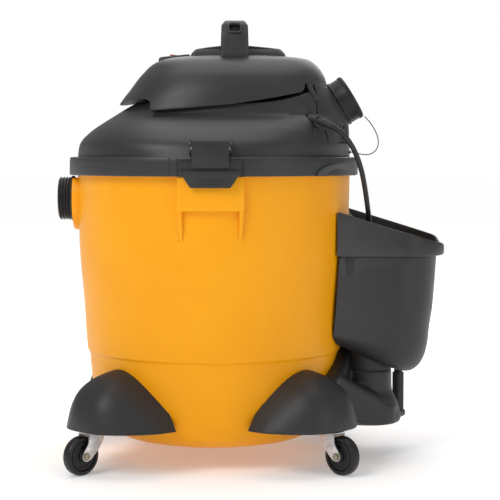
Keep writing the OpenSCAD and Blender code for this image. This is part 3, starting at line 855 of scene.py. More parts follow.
def clear_of_tank(points: np.ndarray, sink: float = 1.2) -> np.ndarray:
    """Moves points that are inside the tank out to just under its surface.

    Args:
        points: Points in millimetres about the tank's axis.
        sink: How far under the surface they stay.

    Returns:
        The moved points.
    """
    points = np.array(points, float)
    reach = np.hypot(points[:, 0], points[:, 1])
    wall = TANK_SIDE(points[:, 2]) - sink
    grow = np.where(reach < wall, wall / np.maximum(reach, 1e-6), 1.0)
    points[:, :2] *= grow[:, None]
    return points


@dataclass
class Tank:
    """The moulded drum, with a shelf under each latch and a boss for the hose."""

    wall: float = 3.5
    bottom_z: float = 33.0
    rim_z: float = 448.0
    top_z: float = 457.0
    segments: int = 300
    shelf_half: float = 47.5
    shelf_out: float = 9.0
    shelf_z: tuple[float, float] = (398.0, 449.0)
    rib_foot_z: float = 357.0
    inlet_z: float = 411.0
    bore_r: float = 31.2
    panel_half_deg: float = 14.5

    def side_ring(self, radius: float, z: float, raised: bool) -> np.ndarray:
        """Makes one level line of the drum.

        Args:
            radius: The radius there.
            z: The height.
            raised: Adds the panel that stands out between the feet.

        Returns:
            The line's points.
        """
        a = np.linspace(0, 2 * math.pi, self.segments, endpoint=False)
        off = np.degrees(np.abs(np.abs((a + math.pi / 2) % (2 * math.pi) - math.pi) - math.pi))
        near = np.minimum(off, 180 - off)
        lift = 2.4 * window(near, -99, self.panel_half_deg, 1.4) * float(window(z, 30, 53, 6))
        r = radius + (lift if raised else 0)
        return np.stack([r * np.cos(a), r * np.sin(a), np.full(len(a), z)], 1)

    def drum(self) -> Shell:
        """Makes the wall, the bottom and the rim.

        Returns:
            The drum's closed surface.
        """
        levels = np.concatenate([
            np.linspace(self.bottom_z, 60, 15), np.linspace(66, 162, 14),
            np.linspace(167.5, 175, 8), np.linspace(184, self.rim_z, 26),
        ])
        rings = [self.side_ring(120, self.bottom_z, True)]
        rings += [self.side_ring(float(TANK_SIDE(z)), z, True) for z in levels]
        lip = [(217, 451.5), (222.8, 452), (224, 453), (224, 456), (223, 457), (214.4, 457),
            (213.5, 456.2)]
        rings += [self.side_ring(r, z, False) for r, z in lip]
        floor = self.bottom_z + self.wall
        inner = [z for z in levels[::-1] if z > floor + 0.5]
        rings += [self.side_ring(float(TANK_SIDE(z)) - self.wall, z, False) for z in inner]
        rings.append(self.side_ring(120, floor, False))
        return Shell().loft(rings)

    def latch_seat(self, shell: Shell, side: int) -> None:
        """Adds one latch shelf and the two ribs that frame the finger room under it.

        Args:
            shell: The tank's surfaces.
            side: -1 for the near side and 1 for the far side.
        """
        bend = wrapped(217.0, side)
        xs = np.linspace(-self.shelf_half, self.shelf_half, 17)
        face = [(x, self.shelf_out) for x in xs] + [(x, -2.2) for x in xs[::-1]]
        low, high = self.shelf_z
        shell.prism(np.array(face), low, high, 1.3, bend)
        for end in SIDES:
            rib = rounded([(-2.5, self.rib_foot_z - 4), (0.4, self.rib_foot_z), (7.4, low - 8),
                (8.2, low + 4), (-2.2, low + 4)], 2.0)
            middle = end * (self.shelf_half - 3)
            place = face_on_x()
            shell.prism(rib, middle - 3, middle + 3, 1.2, lambda p, m=place: bend(m(p)))

    def hose_boss(self, shell: Shell) -> None:
        """Adds the flat-faced boss round the hose inlet.

        Args:
            shell: The tank's surfaces.
        """
        outline = [p for p in circle(50, 96) if p[1] < 35.0]
        outline = sorted(outline, key=lambda p: math.atan2(p[0], -p[1]))
        place = Place((0, 0, self.inlet_z), ((0, 1, 0), (0, 0, 1), (-1, 0, 0)))
        shell.prism(np.array(outline), 208.5, 223.4, 2.2, place)

    def make(self) -> None:
        """Builds and dresses the tank."""
        shell = self.drum()
        for side in SIDES:
            self.latch_seat(shell, side)
        self.hose_boss(shell)
        piece = shell.build("tank_shell")
        bore = Shell().prism(circle(self.bore_r, 72), 190, 240, 0.0,
            along((0, 0, self.inlet_z), (-1, 0, 0)))
        cut(piece, bore)
        dress(piece, Finish.TANK_YELLOW, Body.BASE, ["tank"])


@dataclass
class HoseInlet:
    """The threaded port that the hose screws into."""

    axis_z: float = 411.0
    bore_r: float = 28.6
    tube_r: float = 31.0
    reach: float = 247.6
    ridges: int = 4
    pitch: float = 4.6

    def make(self) -> None:
        """Builds and dresses the port."""
        profile = [(self.bore_r, 178), (self.tube_r, 178), (self.tube_r, 225), (35.2, 225), (36, 225.8)]
        profile += [(36, 227.2), (35.2, 228), (32.4, 228.2)]
        for k in range(self.ridges):
            z = 229.6 + self.pitch * k
            profile += [(32.4, z), (33.9, z + 0.7), (34.3, z + 1.2), (34.3, z + 1.9), (33.9, z + 2.4),
                (32.4, z + 3.1)]
        profile += [(32.2, self.reach - 0.8), (31.4, self.reach), (29.4, self.reach),
            (self.bore_r, self.reach - 0.9)]
        shell = Shell().turn(profile, along((0, 0, self.axis_z), (-1, 0, 0)), 96)
        for k in range(12):
            a = math.radians(30 * k)
            lug = rectangle(4.0, 2.0, 0.8)
            spot = Place(
                (-227.6, 33.8 * math.cos(a), self.axis_z + 33.8 * math.sin(a)),
                ((0, -math.sin(a), math.cos(a)), (0, math.cos(a), math.sin(a)), (-1, 0, 0)),
            )
            shell.prism(lug, 0, 1.0, 0.4, spot)
        dress(shell.build("hose_port"), Finish.PORT_BLACK, Body.BASE, ["inlet_port"])


# ------------------------------------------------------------------ feet and dolly


@dataclass
class Feet:
    """Two front feet, and the rear dolly with the pedestal that carries the tool basket."""

    under_z: float = 67.0
    caster_xy: tuple[float, float] = (181.0, 167.0)
    socket_xy: tuple[float, float] = (184.0, 120.0)
    socket_r: float = 9.0
    pedestal_x: float = 246.0
    half: Table = field(default_factory=lambda: Table((172, 98), (200, 95), (214, 90), (228, 82),
        (242, 72), (254, 61), (264, 49), (271, 36), (275, 22), (276, 12)))
    top: Table = field(default_factory=lambda: Table((172, 154), (200, 154), (214, 151), (228, 146),
        (242, 138), (254, 128), (264, 116), (271, 101), (276, 80)))
    square: Table = field(default_factory=lambda: Table(
        (172, 1.9), (200, 1.9), (214, 2.1), (228, 2.5), (242, 3), (254, 3.6), (276, 4)))
    climb: Table = field(default_factory=lambda: Table(
        (0, 176), (6, 173), (12, 163), (20, 150), (28, 138), (36, 127), (44, 118)))

    def lobe(self, shell: Shell, quarter: Place) -> None:
        """Adds one domed foot that grows out of the tank's side.

        Args:
            shell: The moulding's surfaces.
            quarter: The place of the foot's quarter of the tank.
        """
        across = np.sin(np.linspace(math.pi / 2, -math.pi / 2, 33))
        rings = []
        toe = 276 - 14 * np.cos(np.linspace(0, math.pi / 2, 10))[1:]
        for x in np.concatenate([np.linspace(172, 262, 19), toe]):
            w, top, power = float(self.half(x)), float(self.top(x)), float(self.square(x))
            z = self.under_z + (top - self.under_z) * (1 - np.abs(across) ** power)
            rings.append(np.stack([np.full(len(across), x), w * across, z], 1))
        shell.loft(rings, lambda p: clear_of_tank(quarter(p)))

    def boss(self, shell: Shell, sx: int, sy: int) -> None:
        """Adds the round boss that takes a caster's stem."""
        spot = Place((sx * self.caster_xy[0], sy * self.caster_xy[1], 0))
        shell.turn([(5.8, 66.2), (14, 66.2), (15, 67.2), (15, 100), (5.8, 100)], spot, 40)

    def sockets(self, piece: bpy.types.Object, sx: int, sides: Sequence[int]) -> None:
        """Cuts the accessory holes.

        Args:
            piece: The foot or dolly.
            sx: -1 at the front and 1 at the rear.
            sides: The sides that get a hole.
        """
        tool = Shell()
        for sy in sides:
            spot = Place((sx * self.socket_xy[0], sy * self.socket_xy[1], 0))
            tool.turn([(0.5, 100), (self.socket_r, 100), (self.socket_r, 180), (0.5, 180)], spot, 40)
        cut(piece, tool)

    def front(self, sy: int) -> None:
        """Builds one front foot.

        Args:
            sy: -1 for the near side and 1 for the far side.
        """
        shell = Shell()
        self.lobe(shell, Place().turned(sy * 135))
        side = "left" if sy < 0 else "right"
        piece = shell.build(f"front_foot_{side}_shell")
        self.sockets(piece, -1, [sy])
        dress(piece, Finish.FOOT_CHARCOAL, Body.BASE, [f"front_foot_{side}"], 40)
        ring = Shell()
        self.boss(ring, -1, sy)
        dress(ring.build(f"caster_boss_front_{side}"), Finish.FOOT_CHARCOAL, Body.BASE)

    def apron(self, shell: Shell) -> None:
        """Adds the wall that climbs the tank's back to the pedestal.

        Args:
            shell: The dolly's surfaces.
        """
        rings = []
        for deg in np.linspace(-44, 44, 45):
            a, top = math.radians(deg), float(self.climb(abs(deg)))
            out = 6 + 6 * window(top - 118, 0, 400, 20)
            wall = [(196, 72), (207 + out, 72), (207 + out, top - 5), (204 + out, top), (196, top)]
            rings.append(np.array([(r * math.cos(a), r * math.sin(a), z) for r, z in wall]))
        shell.loft(rings)
        for sy in SIDES:
            edge = [(205, sy * 4, 70), (205, sy * 34, 70), (205, sy * 4, 178), (205, sy * 26, 172)]
            shell.hull(edge + [(238, sy * 4, 70), (238, sy * 34, 70), (232, sy * 4, 178),
                (222, sy * 22, 170)])

    def dolly(self) -> None:
        """Builds the rear dolly as one smooth moulding."""
        shell = Shell()
        for sy in SIDES:
            self.lobe(shell, Place().turned(sy * 45))
            points = [(190 + 16 * x, sy * 80 + 16 * y, z) for x, y in circle(1, 24) for z in (68, 134)]
            points += [(258 + 36 * x, sy * 18 + 36 * y, z) for x, y in circle(1, 24) for z in (52, 80)]
            shell.hull(points)
        points = [(266 + 25 * x, 20 + 25 * y, z) for x, y in circle(1, 24) for z in (49, 60)]
        points += [(303 + 13 * x, 60 + 13 * y, z) for x, y in circle(1, 24) for z in (49, 60)]
        shell.hull(points)
        flare = [(1, 51), (53, 51), (55, 54), (56, 62), (53.4, 72), (48.6, 86), (43.4, 97), (41, 103)]
        flare += [(40.4, 116), (40.4, 138), (1, 138)]
        shell.turn(flare, Place((self.pedestal_x, 0, 0)), 72, loop=False)
        self.apron(shell)
        piece = shell.build("rear_dolly_shell")
        worked(piece, "REMESH", mode="VOXEL", voxel_size=0.0026, use_smooth_shade=True)
        worked(piece, "SMOOTH", factor=0.6, iterations=9)
        points = np.array([v.co for v in piece.data.vertices]) * 1000 - [AXIS_X * 1000, 0, 0]
        piece.data.vertices.foreach_set("co",
            to_frame(clear_of_tank(points)).astype(np.float32).ravel())
        piece.data.update()
        self.sockets(piece, 1, SIDES)
        recess = Shell()
        for sy in SIDES:
            way = (0.30, sy * 0.80, 0.52)
            recess.prism(rectangle(7, 15, 3.4, 6), -6, 30, 0.0, along((190, sy * 137, 132), way))
        cut(piece, recess)
        dress(piece, Finish.FOOT_CHARCOAL, Body.BASE, ["rear_dolly"], 40)
        trim = Shell()
        collar = [(30, 137), (39.6, 137), (40.4, 137.8), (40.4, 138.6), (38, 139), (38, 172),
            (30, 180), (30, 205.5), (27, 205.5), (27, 137)]
        trim.turn(collar, Place((self.pedestal_x, 0, 0)), 96)
        for sy in SIDES:
            self.boss(trim, 1, sy)
        dress(trim.build("pedestal_collar"), Finish.FOOT_CHARCOAL, Body.BASE)

    def post(self) -> None:
        """Builds the peg that holds a wand upright."""
        spot = Place((303, 60, 0))
        shell = Shell().turn([(0.5, 46), (4.4, 46), (5, 46.6), (5, 60.2), (9.4, 60.2), (9.4, 120.6),
            (8.8, 121.8), (7, 122.8), (6.6, 123.6), (6.6, 130.2), (6, 131.4), (4.4, 132), (0.5, 132)],
            spot, 48, loop=False)
        for k in range(4):
            a = math.radians(90 * k + 45)
            fin = Place(
                (303 + 8.9 * math.cos(a), 60 + 8.9 * math.sin(a), 0),
                ((-math.sin(a), math.cos(a), 0), (math.cos(a), math.sin(a), 0), (0, 0, 1)),
            )
            shell.prism(rectangle(2.0, 2.0, 0.6), 61, 118, 0.8, fin)
        dress(shell.build("wand_peg"), Finish.FOOT_CHARCOAL, Body.BASE, ["wand_post"])

    def make(self) -> None:
        """Builds every foot."""
        for sy in SIDES:
            self.front(sy)
        self.dolly()
        self.post()


# ------------------------------------------------------------------ tool basket


@dataclass
class ToolBasket:
    """The open bin for hose tools, on its pedestal behind the tank."""

    reach: float = 366.0
    half_width: float = 105.0
    back_r: float = 222.0
    floor_z: float = 210.0
    far_rise: float = 8.0
    pedestal_x: float = 246.0
    sections: tuple = (
        (288, 50, 45, 206, 183, 105), (304, 64, 55, 206, 184, 108), (319, 76, 62, 206.5, 187, 120),
        (332, 85, 66, 207, 193, 142), (340, 91, 68, 208, 200, 172), (344, 94, 70, 211, 216, 210),
        (349, 96, 72, 214, 246, 246), (354, 98, 74, 219, 321, 321),
    )

    def outline(self, section: Sequence[float]) -> np.ndarray:
        """Makes one level line of the bin.

        Args:
            section: Reach, half-width, corner radius, back radius and the heights at the tank and outside.

        Returns:
            The line's points.
        """
        reach, half, corner, back, z_in, z_out = section
        flat = [(math.sqrt(back * back - y * y), y) for y in np.linspace(half, -half, 21)]
        bends = np.radians(np.linspace(-90, 0, 13))
        centre_x, centre_y = reach - corner, half - corner
        flat += [(centre_x + corner * math.cos(a), corner * math.sin(a) - centre_y) for a in bends]
        flat += [(reach, y) for y in np.linspace(-centre_y, centre_y, 6)[1:-1]]
        bends = bends + math.pi / 2
        flat += [(centre_x + corner * math.cos(a), centre_y + corner * math.sin(a)) for a in bends]
        flat = np.array(flat)
        z = z_in + (z_out - z_in) * (flat[:, 0] - 190) / (self.reach - 190)
        return np.column_stack([flat, z])

    def make(self) -> None:
        """Builds and dresses the bin."""
        wide, corner, back = self.half_width, 78, self.back_r
        rings = [self.outline((250, 30, 28, 216, 188, 112))]
        rings += [self.outline(s) for s in spline(self.sections, 5)]
        for reach, half, z_in, z_out in ((355.5, 99, 322.5, 322.5), (362.5, 102.5, 323, 323),
                (365, 104, 324, 324), (366, 105, 326, 326), (366, 105, 356, 330),
                (366, 105, 388, 335.5), (365.4, 104.4, 391.6, 338.4), (364, 103.2, 393.6, 339.8),
                (362.4, 101.8, 393.8, 339.8), (361.2, 100.6, 392.0, 338.2), (360.8, 100.2, 388, 334.5)):
            ring = self.outline((reach, half, corner - (366 - reach), back - 3 + (366 - reach) * 0.6,
                z_in, z_out))
            if z_in > 360:
                ring[:, 2] += self.far_rise * window(ring[:, 1], 35, 400, 40)
            rings.append(ring)
        for s in ((357, 97, 73, 221, 340, 326), (352, 95, 71.5, 221.5, 318, 316),
                (346, 93, 69, 217, 246, 246), (341, 91, 67, 214.4, self.floor_z + 3,
                self.floor_z + 3), (337, 88, 64, 217, self.floor_z, self.floor_z)):
            rings.append(self.outline(s))
        piece = Shell().loft(rings).build("tool_bin")
        dress(piece, Finish.BASKET_CHARCOAL, Body.BASE, ["tool_basket"], 34)
        trim = Shell()
        for sy in SIDES:
            web = rounded([(2, 324), (20, 324), (16, 318), (12.5, 293), (8.5, 293)], 1.2)
            trim.prism(web, -2.2, 2.2, 0.5, face_on_y((202.5, sy * 97.4, 0)))
        skirt = [(38.6, 139.2), (40.8, 139.2), (41.4, 139.8), (41.4, 158), (41.0, 182), (38.6, 184)]
        trim.turn(skirt, Place((self.pedestal_x, 0, 0)), 96)
        dress(trim.build("bin_trim"), Finish.BASKET_CHARCOAL, Body.BASE)


# ------------------------------------------------------------------ casters


@dataclass
class Caster:
    """One swivel caster: a zinc fork, an axle bolt and a black wheel."""

    sx: int
    sy: int
    stem_xy: tuple[float, float] = (181.0, 167.0)
    trail: float = 22.0
    wheel_r: float = 29.6
    tread: float = 16.0
    plate_z: float = 61.0

    @property
    def name(self) -> str:
        """Gives the corner's name."""
        return f"{'rear' if self.sx > 0 else 'front'}_{'right' if self.sy > 0 else 'left'}"

    @property
    def spot(self) -> Place:
        """Gives the place of the stem, with local X towards the wheel.

        Returns:
            The place, at floor level.
        """
        a = math.radians(self.sy * (45 if self.sx > 0 else 135))
        c, s = math.cos(a), math.sin(a)
        origin = (self.sx * self.stem_xy[0], self.sy * self.stem_xy[1], 0)
        return Place(origin, ((c, s, 0), (-s, c, 0), (0, 0, 1)))

    def across(self, points: np.ndarray) -> np.ndarray:
        """Lays local X, Y, Z along the trail, upwards and across the wheel."""
        points = np.asarray(points, float)
        return self.spot(np.stack([points[:, 0], -points[:, 2], points[:, 1]], 1))

    def on_axle(self, points: np.ndarray) -> np.ndarray:
        """Centres local X and Y on the axle."""
        return self.across(np.asarray(points, float) + [self.trail, self.wheel_r, 0])

    def wheel(self) -> None:
        """Builds the wheel, with stepped rings on both faces."""
        half, r = self.tread / 2, self.wheel_r
        face = [(3.6, 10.3), (8.4, 10.3), (9, 9.8), (9.2, 6.3), (12.6, 6.0), (13.2, 5.2), (16.6, 5.1),
            (17.2, 6.0)]
        face += [(20.6, 6.0), (21.2, 4.9), (22.2, 5.1), (22.9, 7.2), (23.4, half - 0.2),
            (r - 3.2, half)]
        face += [(r - 1.6, half - 0.7), (r - 0.6, half - 2.2), (r, half - 4.6)]
        profile = face + [(radius, -z) for radius, z in face[::-1]]
        shell = Shell().turn(profile, self.on_axle, 96)
        body = "wheel_" + self.name
        dress(shell.build("caster_tyre_" + self.name), Finish.WHEEL_BLACK, body,
            ["caster_wheel_" + self.name])

    def fork(self) -> None:
        """Builds the bent fork with its ball race."""
        leg = rounded([
            (-15, self.plate_z + 1), (-11, 51), (-3, 39), (6, 30.5), (13, 24), (20, 21.5), (25, 22.5),
            (28.5, 26), (29, 31), (24.5, 38.5), (17.5, 48), (15, self.plate_z + 1)], 3.0, 3)
        shell = Shell()
        for side in SIDES:
            shell.prism(leg, side * 12.25 - 1.25, side * 12.25 + 1.25, 0.5, self.across)
        shell.prism(rectangle(30, 27, 3), self.plate_z, self.plate_z + 2.5, 0.8, self.spot)
        race = [(5.7, 62), (10.2, 62), (11.6, 62.8), (12.4, 63.9), (12.4, 65.2), (11.2, 66.3),
            (5.7, 66.3)]
        shell.turn(race, self.spot, 48)
        body = "swivel_" + self.name
        dress(shell.build("caster_frame_" + self.name), Finish.ZINC_PLATE, body,
            ["caster_fork_" + self.name])

    def bolt(self) -> None:
        """Builds the axle bolt, its washer and its domed nut."""
        shell = Shell().prism(circle(3.4, 32), -15.2, 15.2, 0.3, self.on_axle)
        for side in SIDES:
            shell.prism(circle(6.2, 32), side * 14.0 - 0.45, side * 14.0 + 0.45, 0.2, self.on_axle)
            shell.prism(circle(5.2, 6), side * 15.6 - 1.3, side * 15.6 + 1.3, 0.5, self.on_axle)
        body = "swivel_" + self.name
        dress(shell.build("caster_bolt_" + self.name), Finish.BOLT_STEEL, body,
            ["caster_axle_" + self.name])

    def make(self) -> None:
        """Builds the caster."""
        self.wheel()
        self.fork()
        self.bolt()


# ------------------------------------------------------------------ power head


@dataclass
class LidBase:
    """The lid: a rim band over the tank, and the shoulder that carries the motor cover."""

    rim_r: float = 230.0
    band_z: tuple[float, float] = (449.0, 477.0)
    wall: float = 3.0
    latch_half: float = 28.7
    slot_half: float = 48.5
    port_face: tuple[float, float, float] = (221.0, 0.0, 574.0)
    port_tilt: float = 31.0
    port_r: float = 31.2
    gland_at: tuple[float, float, float] = (158.0, -133.0, 533.0)
    gland_way: tuple[float, float, float] = (0.755, -0.604, -0.252)
    front: Table = field(default_factory=lambda: Table((477, -217), (495, -214), (504, -209),
        (514, -199), (524, -186), (533, -172), (543, -156), (554, -138), (566, -116)))
    rear: Table = field(default_factory=lambda: Table((477, 217), (527, 215), (588, 181.5), (600, 176)))
    half: Table = field(default_factory=lambda: Table(
        (477, 217), (495, 209), (515, 189), (530, 168), (543, 148), (560, 141), (590, 130)))
    square: Table = field(default_factory=lambda: Table((477, 2), (500, 2.15), (540, 2.4), (590, 2.6)))
    top: Table = field(default_factory=lambda: Table(
        (0, 588), (25, 586), (42, 578), (60, 568.5), (75, 561), (90, 558), (130, 561), (180, 562)))

    def angles(self) -> np.ndarray:
        """Gives the angles of a line's points, closer together where the moulded lines are."""
        half = np.concatenate([np.arange(0, 14, 1.4), np.arange(14, 68, 0.4), np.arange(68, 180, 1.4)])
        return np.radians(np.concatenate([half, 360 - half[:0:-1]]))

    def line(self, share: float, shrink: float = 0.0, raise_z: float = 0.0) -> np.ndarray:
        """Makes one line round the shoulder.

        Args:
            share: 0 at the band and 1 at the top.
            shrink: How far the line moves inwards.
            raise_z: How far it moves up.

        Returns:
            The line's points.
        """
        a = self.angles()
        folded = np.degrees(np.where(a > math.pi, 2 * math.pi - a, a))
        start = self.band_z[1] + 0.5
        z = start + (self.top(folded) - start) * share
        xy = superoval(self.front(z) + shrink, self.rear(z) - shrink, self.half(z) - shrink,
            self.square(z), a)
        carved = self.carving(xy[:, 0], np.abs(xy[:, 1]), z)
        inward = -xy / np.linalg.norm(xy, axis=1, keepdims=True)
        return np.column_stack([xy + inward * carved[:, None], z + raise_z])

    def carving(self, x: np.ndarray, y: np.ndarray, z: np.ndarray) -> np.ndarray:
        """Gives how deep the moulded lines and hollows are at each point of the shoulder.

        Args:
            x: X of each point.
            y: Its distance from the middle plane.
            z: Its height.

        Returns:
            The depths.
        """
        at_side = window(y, 60, 400, 8)
        down = (561.0 - z) / 29.0
        seam = np.exp(-(((x - (145.1 + 10.7 * down)) / 1.3) ** 2)) * window(z, 531, 562, 3) * 2.6
        facet = window(x, 146 + 10.7 * np.clip(down, 0, 1), 400, 4) * window(z, 505, 566, 22) * 1.6
        rise = np.clip((z - 527.8) / 33.6, 0, 1)
        crease = np.exp(-(((x - (93.7 + 51.4 * rise)) / 9) ** 2)) * window(z, 522, 560, 14) * -1.1
        upper_x, upper_width = 160.6 + 0.21 * (564.0 - z), 0.8 + 0.055 * (566.0 - z)
        upper = np.exp(-(((x - upper_x) / upper_width) ** 2)) * window(z, 541, 567, 3) * 7.0
        lower_x = 175.0 + 0.21 * (517.2 - z)
        lower = np.exp(-(((x - lower_x) / 1.9) ** 2)) * window(z, 498, 519, 2) * 6.0
        tray = window(x, 188, 232, 2.5) * window(y, 52, 104, 3) * window(z, 499, 524, 2.0) * 7.0
        frame_line = window(x, 176, 188, 2) * window(y, 60, 118, 3) * window(z, 519, 526, 1.5) * 1.2
        return at_side * (seam + facet + crease + upper + lower + frame_line) + tray

    def body(self) -> Shell:
        """Makes the band, the shoulder and their inner faces.

        Returns:
            The lid's closed surface.
        """
        a = self.angles()
        low, high = self.band_z
        r = self.rim_r

        def ring(radius: float, z: float) -> np.ndarray:
            """Makes one round line."""
            return np.stack([radius * np.cos(a), radius * np.sin(a), np.full(len(a), z)], 1)

        rings = [ring(r - 3.5, low + 0.6), ring(r - 2.9, low), ring(r - 0.8, low),
            ring(r - 0.1, low + 0.9)]
        rings += [ring(r, low + 2), ring(r, 458), ring(r - 0.2, 470), ring(r - 0.6, high - 2.2),
            ring(r - 1.2, high - 0.8)]
        rings += [ring(r - 2.4, high), ring(r - 6, high + 0.25), ring(r - 11, high + 0.3)]
        shares = np.concatenate([[0, 0.012, 0.03], np.linspace(0.06, 0.97, 44), [0.985, 1.0]])
        rings += [self.line(s) for s in shares]
        rings += [self.line(1.0, 0.8, 0.8), self.line(1.0, 9, 2.0), self.line(1.0, 22, 2.5),
            self.line(1.0, 22, 0.4)]
        rings += [self.line(1.0, 9, -0.6)]
        rings += [self.line(s, self.wall) for s in np.linspace(0.97, 0.03, 16)]
        rings += [ring(214, 474), ring(214, 462), ring(r - 3.5, 462)]
        return Shell().loft(rings, loop=True)

    def make(self) -> None:
        """Builds and dresses the lid."""
        piece = self.body().build("lid_shell")
        tool = Shell()
        for side in SIDES:
            y = side * 232.4
            tool.prism(rectangle(2 * self.slot_half, 34, 1.5), y - 7.8, y + 7.8, 0.0,
                face_on_y((0, 0, 457)))
            y = side * 230.0
            tool.prism(rectangle(2 * self.latch_half, 40, 1.0), y - 10.5, y + 10.5, 0.0,
                face_on_y((0, 0, 490.2)))
        c, s = math.cos(math.radians(self.port_tilt)), math.sin(math.radians(self.port_tilt))
        tool.prism(circle(self.port_r, 72), -80, 12, 0.0, along(self.port_face, (c, 0, s)))
        tool.prism(circle(6.8, 32), -18, 24, 0.0, along(self.gland_at, self.gland_way))
        cut(piece, tool)
        dress(piece, Finish.HEAD_CHARCOAL, Body.HEAD, ["lid_base"], 33)
        self.fittings()

    def fittings(self) -> None:
        """Adds the floor, the latch ears, the rim lugs, the port collar and the seams in the band."""
        pins = Shell()
        shell = Shell().turn([(42, 470), (213.6, 470), (213.6, 474), (42, 474)], None, 160)
        for side in SIDES:
            for end in SIDES:
                ear = rounded([(200, 480), (222, 480), (229.5, 484), (229.5, 496), (222, 500),
                    (200, 504)], 2)
                ear = np.array([(side * y, z) for y, z in ear])
                shell.prism(ear, end * 29.8 - 1, end * 29.8 + 1, 0.4, face_on_x())
            pin = face_on_x((0, side * 227.0, 490.0))
            pins.prism(circle(2.5, 24), -30.2, 30.2, 0.5, pin)
        shell.prism(circle(2.6, 24), 0, 9.3, 0.8, along((208, -27, 485), (1, 0, 0)))
        c, s = math.cos(math.radians(self.port_tilt)), math.sin(math.radians(self.port_tilt))
        collar = [(31.3, -64), (37, -64), (37, -29), (36, -27.6), (33.5, -27), (31.3, -27)]
        shell.turn(collar, along(self.port_face, (c, 0, s)), 72)
        dress(shell.build("lid_fittings"), Finish.HEAD_CHARCOAL, Body.HEAD)
        dress(pins.build("latch_pivot_pins"), Finish.BOLT_STEEL, Body.HEAD, ["latch_pins"])
        trim = Shell()
        for side in SIDES:
            turn = np.array([[math.cos(t), math.sin(t)] for t in np.linspace(0, math.pi, 19)])
            lug = np.array([(59.5 * x, 19.4 * y) for x, y in turn * [1, 1]])
            lug = np.vstack([lug, [(-59.5, -0.2), (59.5, -0.2)]])
            lug = np.array([(np.sign(x) * min(abs(x), 59.5), z) for x, z in lug])
            mid = math.radians(90 - 32.5) * 230
            place = Place((mid, -0.6, 449.0), ((1, 0, 0), (0, 0, 1), (0, 1, 0)))
            bend = wrapped(230.0, side)
            trim.prism(lug, 0, 4.2, 2.0, lambda p, m=place, b=bend: b(m(p)))
            for mark in (-61.5, -49.6, 49.6):
                bar = Place((mark, -0.9, 463.0), ((1, 0, 0), (0, 0, 1), (0, 1, 0)))
                trim.prism(rectangle(1.6, 27, 0.5), 0, 1.4, 0.5, lambda p, m=bar, b=bend: b(m(p)))
        dress(trim.build("rim_lugs"), Finish.HEAD_CHARCOAL, Body.HEAD)


@dataclass
class MotorCover:
    """The overhanging cover on top of the head, with the hump under the handle."""

    top_z: float = 638.0
    wall: float = 3.0
    points: int = 320
    front: Table = field(default_factory=lambda: Table((540, -164), (561, -149), (572, -141),
        (582, -133), (601, -119), (611, -110), (620, -101), (629, -86), (633, -70), (636, -38),
        (638, 0)))
    rear: Table = field(default_factory=lambda: Table((540, 207), (560, 196), (591, 180), (601, 177),
        (611, 172), (620, 165), (630, 152), (633, 139), (636, 107), (638, 59)))
    half: Table = field(default_factory=lambda: Table((540, 153), (560, 149), (580, 144), (600, 134),
        (615, 121), (625, 107), (632, 87), (636, 60), (638, 26)))
    edge: Table = field(default_factory=lambda: Table((0, 590.5), (10, 589.5), (18, 585), (26, 577),
        (34, 569), (39, 565.5), (41.5, 564), (42.4, 566), (43.2, 588), (44.4, 591), (45.6, 590),
        (47, 584), (49, 579.5), (51, 577), (59.6, 572.9), (66.3, 569.6), (77.3, 564), (85.9, 559.3),
        (91.2, 555.8), (98.4, 553.2), (112.6, 549.8), (121, 548.6), (125.4, 549.2), (126.6, 552.5),
        (128, 559.4), (131.2, 564.2), (137.3, 567.2), (144.5, 566.4), (159.7, 562.4), (170, 560.4),
        (180, 559.6)))

    def line(self, share: float, shrink: float = 0.0) -> np.ndarray:
        """Makes one line round the cover.

        Args:
            share: 0 at the lower edge and 1 at the top.
            shrink: How far the line moves inwards, and down where the cover is flat.

        Returns:
            The line's points.
        """
        a = np.linspace(0, 2 * math.pi, self.points, endpoint=False)
        folded = np.degrees(np.where(a > math.pi, 2 * math.pi - a, a))
        low = self.edge(folded)
        z = low + (self.top_z - low) * share
        xy = superoval(self.front(z) + shrink, self.rear(z) - shrink, self.half(z) - shrink, 2.5, a)
        sink = shrink * np.clip((z - 560) / 50, 0, 1)
        return np.column_stack([xy, z - sink])

    def shell(self) -> Shell:
        """Makes the cover's outer and inner faces and its rolled lower edge.

        Returns:
            The cover's closed surface.
        """
        shares = np.concatenate([np.linspace(0.03, 0.6, 20), np.linspace(0.63, 0.96, 24),
            np.linspace(0.965, 1, 9)])
        rings = [self.line(s, self.wall) for s in np.concatenate([[0.02], shares])[::-1]]
        rings += [self.line(0.0, self.wall - 0.6), self.line(-0.002, self.wall * 0.5),
            self.line(0.0, 0.5), self.line(0.008, 0.06)]
        rings += [self.line(s) for s in shares]
        return Shell().loft(rings)

    def hump(self) -> Shell:
        """Makes the low rise that the handle stands on.

        Returns:
            The hump's closed surface.
        """
        steps = ((149, 104, 39, 634.2), (149, 104, 39, 636), (146, 101, 39, 639.5),
            (134.5, 93, 39, 645.6), (132.5, 91, 39, 646.4), (104, 91.4, 37, 648.4),
            (72, 91, 35, 650.2), (45, 90.6, 34, 651.4), (42.6, 89, 34, 651.8), (30, 60, 34, 651.9))
        rings = []
        for length, width, x, z in steps:
            flat = rectangle(length, width, 9, 5) + [x, 0]
            rings.append(np.column_stack([flat, np.full(len(flat), z)]))
        return Shell().loft(rings)

    def make(self) -> None:
        """Builds and dresses the cover."""
        piece = self.shell().build("motor_cover_shell")
        tool = Shell().prism(rectangle(51, 68, 3) + [-61.5, 0], 600, 660, 0.0)
        for side in SIDES:
            slot = rectangle(5.4, 15.5, 2.7, 6)
            tool.prism(slot, -14, 14, 0.0, along((156.5, side * 95.5, 581), (0.62, side * 0.78, 0.0)))
        cut(piece, tool)
        dress(piece, Finish.HEAD_CHARCOAL, Body.HEAD, ["motor_cover"], 36)
        dress(self.hump().build("handle_hump"), Finish.HEAD_CHARCOAL, Body.HEAD, (), 20)


